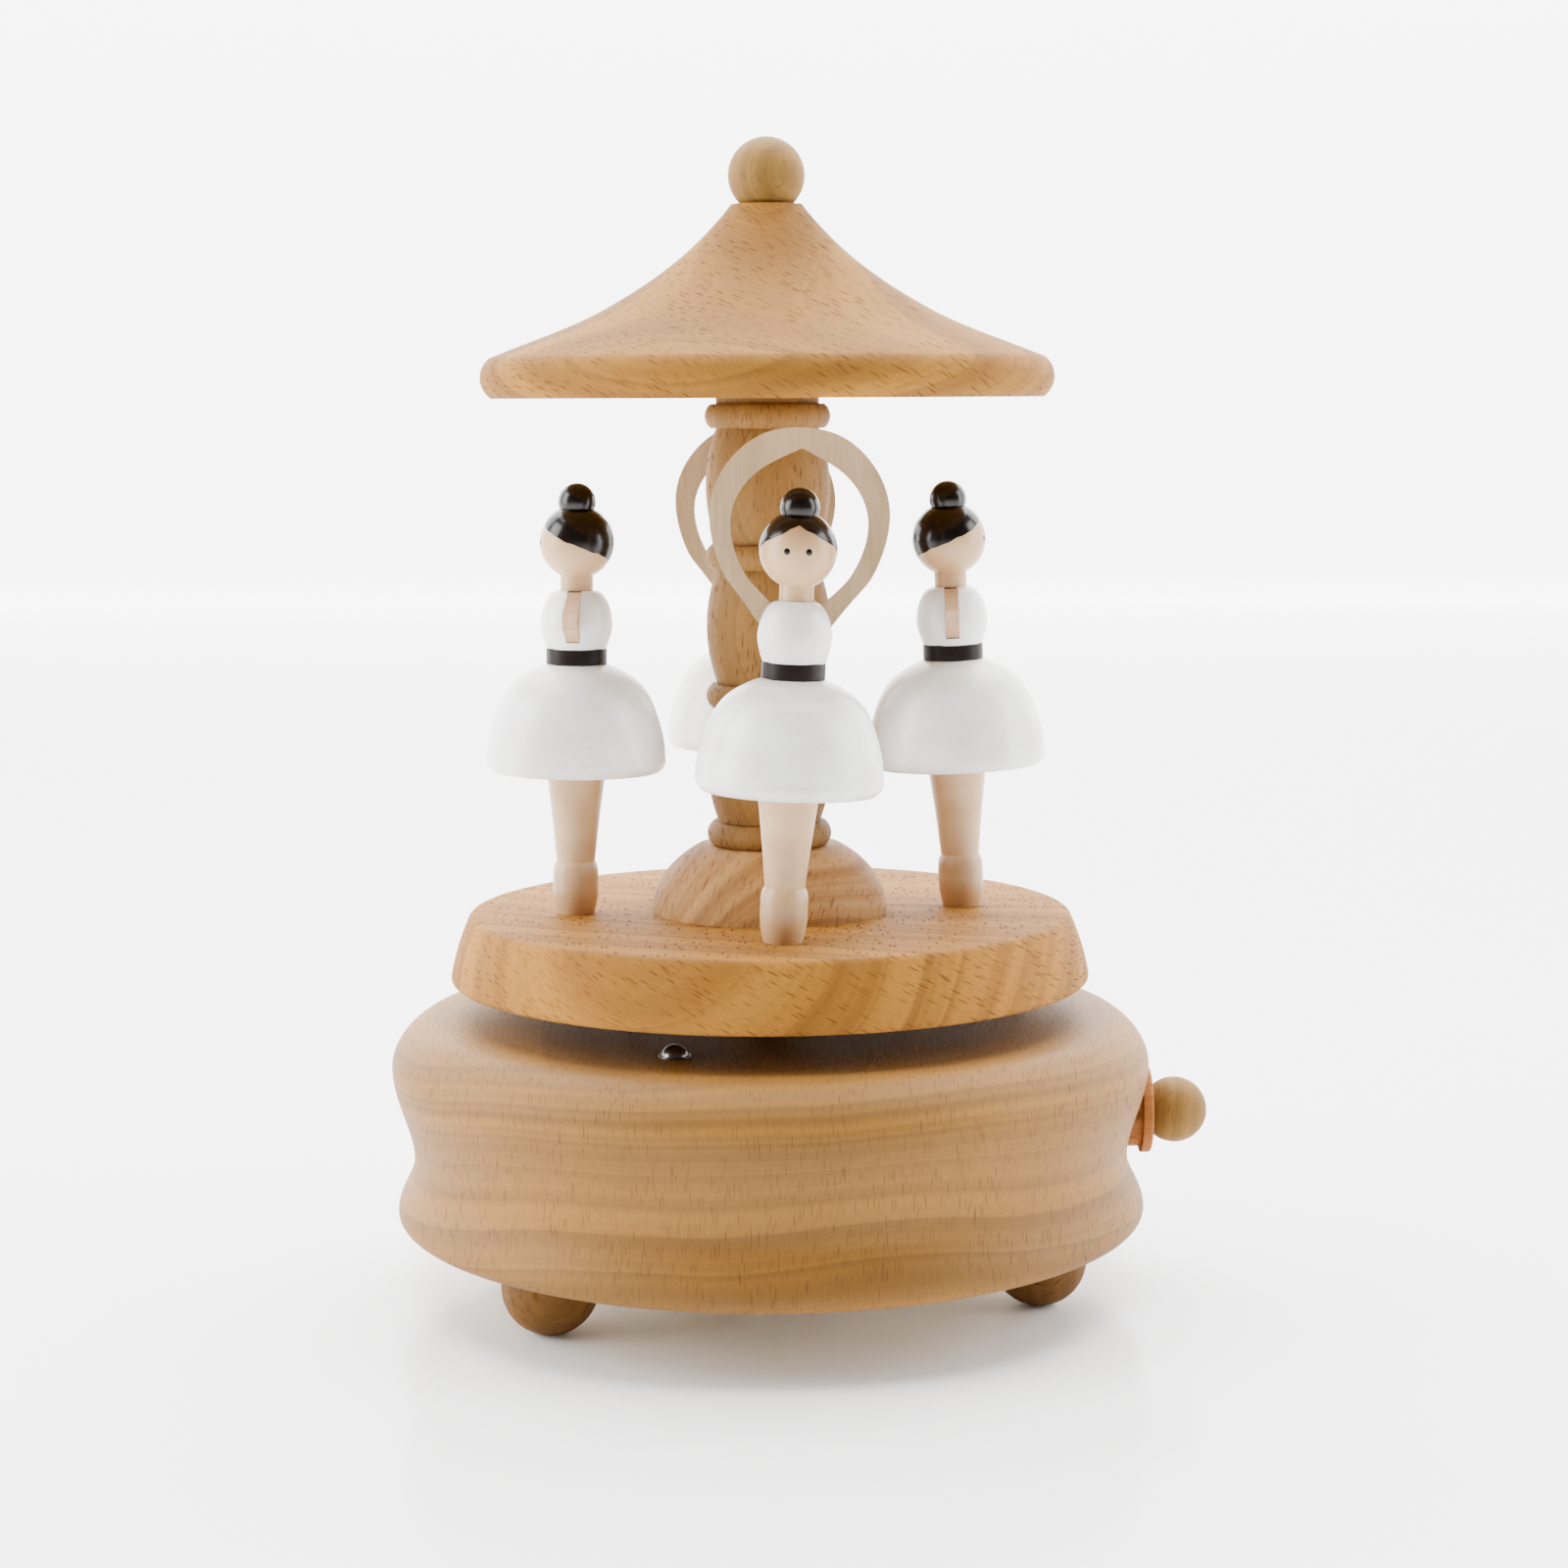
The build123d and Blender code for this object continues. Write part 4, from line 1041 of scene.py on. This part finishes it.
@dataclass
class Dancer:
    """One ballerina: turned legs, skirt and torso, plywood arms, ball head, hair and bun."""

    name: str
    angle: float                    # place round the platform, from the front to the right
    facing: float                   # where the face looks, counted the same way
    lean: float                     # towards +X
    arms: Arms
    circle: float = 29.5
    floor: float = 57.8
    leg_height: float = 21.7
    leg: float = 4.45
    sole: float = 2.8
    shoe: float = 3.42
    shoe_fullest: float = 4.7
    ankle: float = 2.9
    ankle_height: float = 8.0
    calf: float = 3.45
    calf_height: float = 13.5
    skirt: float = 13.4
    skirt_height: float = 16.1
    hem: float = 0.9                # how far in the rim starts below
    hem_height: float = 2.3
    tuck: float = 0.1               # how far the skirt ends inside the belt
    belt: float = 4.55
    belt_height: float = 2.3
    belt_edge: float = 0.12
    torso: float = 5.35
    torso_height: float = 8.7
    torso_tuck: float = 0.15        # how far it starts inside the belt
    shoulder: float = 2.9
    neck: float = 2.43
    neck_height: float = 2.2
    head: float = 5.5
    bun: float = 2.8
    bun_offset: float = 6.0
    slot_width: float = 2.08
    slot_floor: float = 1.1         # above the belt
    slot_reach: float = 9.0         # past the torso on both sides
    slot_over: float = 2.0          # past the shoulders
    hair_thickness: float = 0.07
    hair_under: float = 0.15        # how far its edge goes into the head
    hair_back: float = -2.6         # hairline at the nape, from the head's centre
    hair_rise: float = 6.3          # how much higher it is above the face
    eye: float = 0.46
    eye_aside: float = 1.56
    eye_rise: float = 0.2           # of a dot, to its radius
    eye_depth: float = 0.1          # how far it goes into the head
    place: Matrix = field(init=False)

    def __post_init__(self) -> None:
        """Work out where the dancer stands."""
        a = math.radians(self.angle)
        foot = shift(self.circle * math.sin(a), -self.circle * math.cos(a), self.floor)
        self.place = foot @ about(self.lean, "Y") @ about(self.facing, "Z")

    @property
    def belt_bottom(self) -> float:
        """Height of the belt above the sole."""
        return self.leg_height + self.skirt_height

    @property
    def torso_bottom(self) -> float:
        """Height of the belt's upper edge."""
        return self.belt_bottom + self.belt_height

    @property
    def torso_top(self) -> float:
        """Height of the shoulders."""
        return self.torso_bottom + self.torso_height

    @property
    def head_centre(self) -> float:
        """Height of the middle of the head."""
        return self.torso_top + self.neck_height + 0.9 * self.head

    def put(self, shell: Shell, part: str, finish: Finish, slot: str, *nodes: str) -> bpy.types.Object:
        """Place one part, name it for this dancer and finish it."""
        piece = shell.placed(self.place).object(f"{self.name}_{part}")
        return dress(piece, finish, "turntable", slot, *[f"dancer_{self.name}_{n}" for n in nodes])

    def legs(self) -> None:
        """Shoe, ankle and leg in one turning, with the painted bead at the ankle."""
        shoe = flowing([(self.sole, 0.0), (self.shoe, self.shoe_fullest), (self.ankle, self.ankle_height)],
                       (0.3, 1), (-0.8, 1), 20)
        leg = flowing([(self.ankle, self.ankle_height), (self.calf, self.calf_height),
                       (self.leg, self.leg_height)], count=14)
        profile = joined(np.array([(0.0, 0.0)]), shoe, leg, np.array([(0.0, self.leg_height)]))
        self.put(turned(profile, 72), "legs_turned", Paint.SKIN.value, "skin_paint", "legs")

    def skirt_bell(self) -> None:
        """Bell of the tutu: rounded rim, full side, flat below."""
        r, z, h = self.skirt, self.leg_height, self.skirt_height
        rim = arc((r - self.hem, z), (r - 0.2, z + 0.7), (r, z + self.hem_height), 14)
        side = flowing([(r, z + self.hem_height), (0.945 * r, z + 0.43 * h), (0.72 * r, z + 0.815 * h),
                        (self.belt - self.tuck, self.belt_bottom)], (0, 1), (-1, 0.35), 24)
        profile = joined(np.array([(0.0, z)]), rim, side, np.array([(0.0, self.belt_bottom)]))
        self.put(turned(profile, 128), "skirt_turned", Paint.WHITE.value, "white_paint", "skirt")

    def torso_and_belt(self) -> None:
        """Egg-shaped torso with its slot, and the dark band painted round the waist."""
        low, top = self.torso_bottom, self.torso_top
        side = flowing([(self.belt - self.torso_tuck, low), (self.torso, low + 0.48 * self.torso_height),
                        (self.shoulder, top)], (0.45, 1), (-1, 0.25), 26)
        profile = joined(np.array([(0.0, low)]), side, np.array([(0.0, top)]))
        piece = turned(profile, 96).object(f"{self.name}_torso_turned")
        half = self.slot_width / 2
        cut_away(piece, slab((-self.slot_reach, -half, low + self.slot_floor),
                             (self.slot_reach, half, top + self.slot_over)))
        piece.data.transform(scaled(1 / MM))
        piece.data.transform(scaled(MM) @ self.place)
        dress(piece, Paint.WHITE.value, "turntable", "white_paint", f"dancer_{self.name}_torso")

        band = eased([(0, self.belt_bottom, 0), (self.belt, self.belt_bottom, self.belt_edge),
                      (self.belt, low, self.belt_edge), (0, low, 0)])
        self.put(self.wobbled(turned(band, 96)), "belt_band", Paint.BELT.value, "white_paint")

    def wobbled(self, shell: Shell) -> Shell:
        """Let the brushed edges of the belt rise and fall.

        Height shifts by two sines of the angle, three and seven to a turn.  The dancer's own
        angle sets where the first one starts, so no two belts are alike.

        Args:
            shell: the even band.

        Returns:
            The uneven one.
        """
        angle = np.arctan2(shell.points[:, 1], shell.points[:, 0])
        on_side = np.hypot(shell.points[:, 0], shell.points[:, 1]) > 0.9 * self.belt
        wave = 0.07 * np.sin(3 * angle + self.angle) + 0.04 * np.sin(7 * angle + 1.3)
        points = shell.points.copy()
        points[:, 2] += np.where(on_side, wave, 0.0)
        return Shell(points, shell.faces)

    def head_ball(self) -> None:
        """Ball head on its neck."""
        low = -math.degrees(math.acos(self.neck / self.head))
        profile = joined(np.array([(0.0, self.torso_top), (self.neck, self.torso_top)]),
                         ball(self.head, self.head_centre, low, 90, 48))
        self.put(turned(profile, 96), "head_turned", Paint.SKIN.value, "skin_paint", "head")

    def hair(self) -> None:
        """Painted cap and bun.

        At an angle from the face the hairline's height above the head's centre is the nape's
        height plus the rise times (1 - angle / half a turn) to the power 1.35, so it comes to
        a point above the face.  The cap's rows run from the hairline to the crown.
        """
        angle = np.linspace(-math.pi, math.pi, 120, endpoint=False)
        wave = 0.06 * np.sin(9 * angle + self.angle) + 0.04 * np.sin(17 * angle)
        height = self.hair_back + self.hair_rise * (1 - np.abs(angle) / math.pi) ** 1.35 + wave
        edge = np.arcsin(height / self.head)
        share = np.linspace(0, 1, 28, endpoint=False)[:, None]
        latitude = edge + share * (math.pi / 2 - edge)
        radius = np.full_like(latitude, self.head + self.hair_thickness)
        latitude = np.vstack([latitude[:1] - 0.01, latitude])
        radius = np.vstack([np.full((1, len(angle)), self.head - self.hair_under), radius])
        ring = radius * np.cos(latitude)
        points = np.stack([ring * np.sin(angle), -ring * np.cos(angle),
                           self.head_centre + radius * np.sin(latitude)], -1)
        rows, steps = latitude.shape
        crown = rows * steps
        faces = bands(rows, steps) + fan(crown - steps, steps, crown, above=True)
        faces += fan(0, steps, crown + 1, above=False)
        centre = [[0, 0, self.head_centre + self.head + self.hair_thickness], [0, 0, self.head_centre]]
        cap = Shell(np.vstack([points.reshape(-1, 3), centre]), faces)
        self.put(cap, "hair_cap", Paint.HAIR.value, "skin_paint")
        bun = ball(self.bun, self.head_centre + self.bun_offset, -90, 90, 40)
        self.put(turned(bun, 64), "hair_bun", Paint.HAIR.value, "skin_paint")

    def eyes(self) -> None:
        """Two small raised dots of paint on the face."""
        shells = []
        for side in (-1, 1):
            turn = math.degrees(math.asin(side * self.eye_aside / self.head))
            dot = turned(ball(self.eye, 0.0, 0, 90, 8) * (1.0, self.eye_rise), 24)
            side_wall = np.array([(0.0, -self.eye_depth), (self.eye, -self.eye_depth), (self.eye, 0.0)])
            dot = dot.with_(turned(side_wall, 24))
            at = shift(0, 0, self.head_centre) @ about(turn, "Z") @ shift(0, -self.head, 0) @ about(90, "X")
            shells.append(dot.placed(at))
        self.put(shells[0].with_(shells[1]), "eyes_painted", Paint.HAIR.value, "skin_paint")

    def build(self) -> None:
        """Make all of one dancer but the plywood arms, which the frame holds."""
        self.legs()
        self.skirt_bell()
        self.torso_and_belt()
        self.head_ball()
        self.hair()
        self.eyes()
        LOG.info("%s dancer, arms %s", self.name, self.arms.value)


# ---------------------------------------------------------------- knob
@dataclass
class StopKnob:
    """Ball knob on the stop rod."""

    radius: float = 5.0
    flat: float = 3.5
    centre: float = 61.8
    height: float = 26.4

    def build(self) -> None:
        """A ball with a flat towards the base."""
        low = -math.degrees(math.asin(self.flat / self.radius))
        profile = joined(np.array([(0.0, -self.flat)]), ball(self.radius, 0.0, low))
        lie = shift(self.centre, 0, self.height) @ about(90, "Y")
        piece = turned(profile, 96).placed(lie).object("knob_turned")
        dress(piece, Wood.PALE.value, "stop_knob", "pale_wood", "stop_knob")


# ---------------------------------------------------------------- movement and arms from the frame
def dress_frame(nodes: dict[str, bpy.types.Object], record: dict) -> None:
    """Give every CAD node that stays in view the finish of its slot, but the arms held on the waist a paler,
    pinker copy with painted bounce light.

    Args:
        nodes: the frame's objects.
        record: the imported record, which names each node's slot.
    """
    finishes: dict[str, Finish] = {**METALS, **BARE, "beech_base": Wood.BASE.value,
                                   "beech_table": Wood.TABLE.value, "pale_wood": Wood.PALE.value,
                                   "red_beech": Wood.FLANGE.value, "foot_wood": Wood.FOOT.value,
                                   "white_paint": Paint.WHITE.value, "skin_paint": Paint.ARMS.value}
    slots = {row["node"]: row["material_slot"] for row in record["subparts"]}
    bounce_lit_arms = [f"dancer_{dancer.name}_arms" for dancer in DANCERS if dancer.arms is Arms.ON_WAIST]
    for name, piece in nodes.items():
        # Arms on the waist take the plywood with painted bounce light from the skirts.
        finish = Paint.ARMS_BOUNCE_LIT.value if name in bounce_lit_arms else finishes[slots[name]]
        piece.data.materials.clear()
        piece.data.materials.append(MATERIALS.of(finish))
    LOG.info("%d pieces of the frame dressed", len(nodes))


# ---------------------------------------------------------------- studio
@dataclass
class Studio:
    """Pale floor that sweeps up behind, soft boxes on both sides and the camera, in metres."""

    eye: Vector3 = (0.0, -0.4742, 0.1354)
    lens: float = 72.45
    pitch: float = 7.03
    yaw: float = 0.27
    roll: float = -0.25
    glow: float = 6.5               # of the backdrop where it is brightest
    glow_range: Point = (150.0, 2400.0)     # where it starts and is full, mm behind the box
    half_width: float = 6.0
    height: float = 5.0
    bend_start: float = 1.6
    bend: float = 0.8

    def floor(self) -> None:
        """A sweep: flat in front, a quarter turn behind, then straight up.

        It glows more and more from far behind the music box, as a lit backdrop does.
        """
        angle = np.linspace(0, math.pi / 2, 24)
        bend = np.stack([self.bend_start + self.bend * np.sin(angle),
                         self.bend - self.bend * np.cos(angle)], 1)
        path = np.vstack([[(-self.half_width, 0.0)], bend, [(self.bend_start + self.bend, self.height)]])
        across = np.array([-self.half_width, self.half_width])
        points = np.stack([np.tile(across, (len(path), 1)), np.repeat(path[:, :1], 2, 1),
                           np.repeat(path[:, 1:], 2, 1)], -1).reshape(-1, 3)
        start = 2 * np.arange(len(path) - 1)[:, None]
        faces = (start + np.array([0, 1, 3, 2])).tolist()
        piece = Shell(points / MM, faces).object("studio_floor")
        # Polished sheet: pure white, with a soft mirror image below the box.
        finish = Finish("white_glossy_acrylic", roughness=0.18, specular=0.15)
        material, tree, shader, place = finish.start()
        shader.inputs["Base Color"].default_value = linear("#f7f6f6")
        depth = add(tree, "SeparateXYZ", {0: place}).outputs["Y"]
        far = add(tree, "MapRange", {0: depth, 1: self.glow_range[0], 2: self.glow_range[1]}).outputs[0]
        glow = add(tree, "Math", {0: far, 1: 2.0}, operation="POWER").outputs[0]
        glow = add(tree, "Math", {0: glow, 1: self.glow}, operation="MULTIPLY").outputs[0]
        shader.inputs["Emission Color"].default_value = linear("#ffffff")
        tree.links.new(glow, shader.inputs["Emission Strength"])
        piece.data.materials.append(material)

    def softbox(self, name: str, place: Vector3, aim: Vector3, size: Point, power: float) -> None:
        """One rectangular light that looks at a point.

        Args:
            name: the light's name.
            place: where it stands.
            aim: what it looks at.
            size: its width and height.
            power: in watts.
        """
        lamp = bpy.data.lights.new(name, "AREA")
        lamp.shape = "RECTANGLE"
        lamp.size, lamp.size_y = size
        lamp.energy = power
        made = bpy.data.objects.new(name, lamp)
        turn = (Vector(aim) - Vector(place)).to_track_quat("-Z", "Y").to_matrix().to_4x4()
        made.matrix_world = Matrix.Translation(place) @ turn
        bpy.context.scene.collection.objects.link(made)

    def lights(self) -> None:
        """Soft boxes on both sides, a broad one above and behind, and a dim white room."""
        self.softbox("key_left", (-0.82, -0.14, 0.40), (0, 0, 0.10), (0.5, 0.8), 18.0)
        self.softbox("fill_right", (0.80, -0.06, 0.34), (0, 0, 0.10), (0.4, 0.7), 9.0)
        self.softbox("overhead", (0.0, 0.24, 1.15), (0, 0.05, 0.05), (1.5, 1.1), 62.0)
        world = bpy.data.worlds.new("white_room")
        bpy.context.scene.world = world
        world.use_nodes = True
        shade = world.node_tree.nodes["Background"]
        shade.inputs["Color"].default_value = linear("#ffffff")
        shade.inputs["Strength"].default_value = 0.14

    def camera(self) -> None:
        """The camera: turned to the side, tipped down and rolled, in that order."""
        data = bpy.data.cameras.new("studio_camera")
        data.lens = self.lens
        data.sensor_width = 36.0
        data.clip_start, data.clip_end = 0.01, 20.0
        made = bpy.data.objects.new("studio_camera", data)
        turn = about(-self.yaw, "Z") @ about(90 - self.pitch, "X") @ about(self.roll, "Z")
        made.matrix_world = Matrix.Translation(self.eye) @ turn
        bpy.context.scene.collection.objects.link(made)
        bpy.context.scene.camera = made

    def build(self) -> None:
        """Set up the studio."""
        self.floor()
        self.lights()
        self.camera()


DANCERS = (
    Dancer("front", 3.5, -0.8, 2.5, Arms.RAISED),
    Dancer("right", 95.4, 87.5, -2.1, Arms.ON_WAIST),
    Dancer("rear", 186.5, 177.8, 1.3, Arms.RAISED),
    Dancer("left", 275.4, 266.6, 0.9, Arms.ON_WAIST),
)


def main() -> None:
    """Build the music box piece by piece."""
    logging.basicConfig(level=logging.INFO, format="%(message)s")
    dress_frame(frame["nodes"], frame["record"])
    Base().build()
    Carousel().build()
    for dancer in DANCERS:
        dancer.build()
    StopKnob().build()
    Studio().build()


if __name__ == "__main__":
    main()
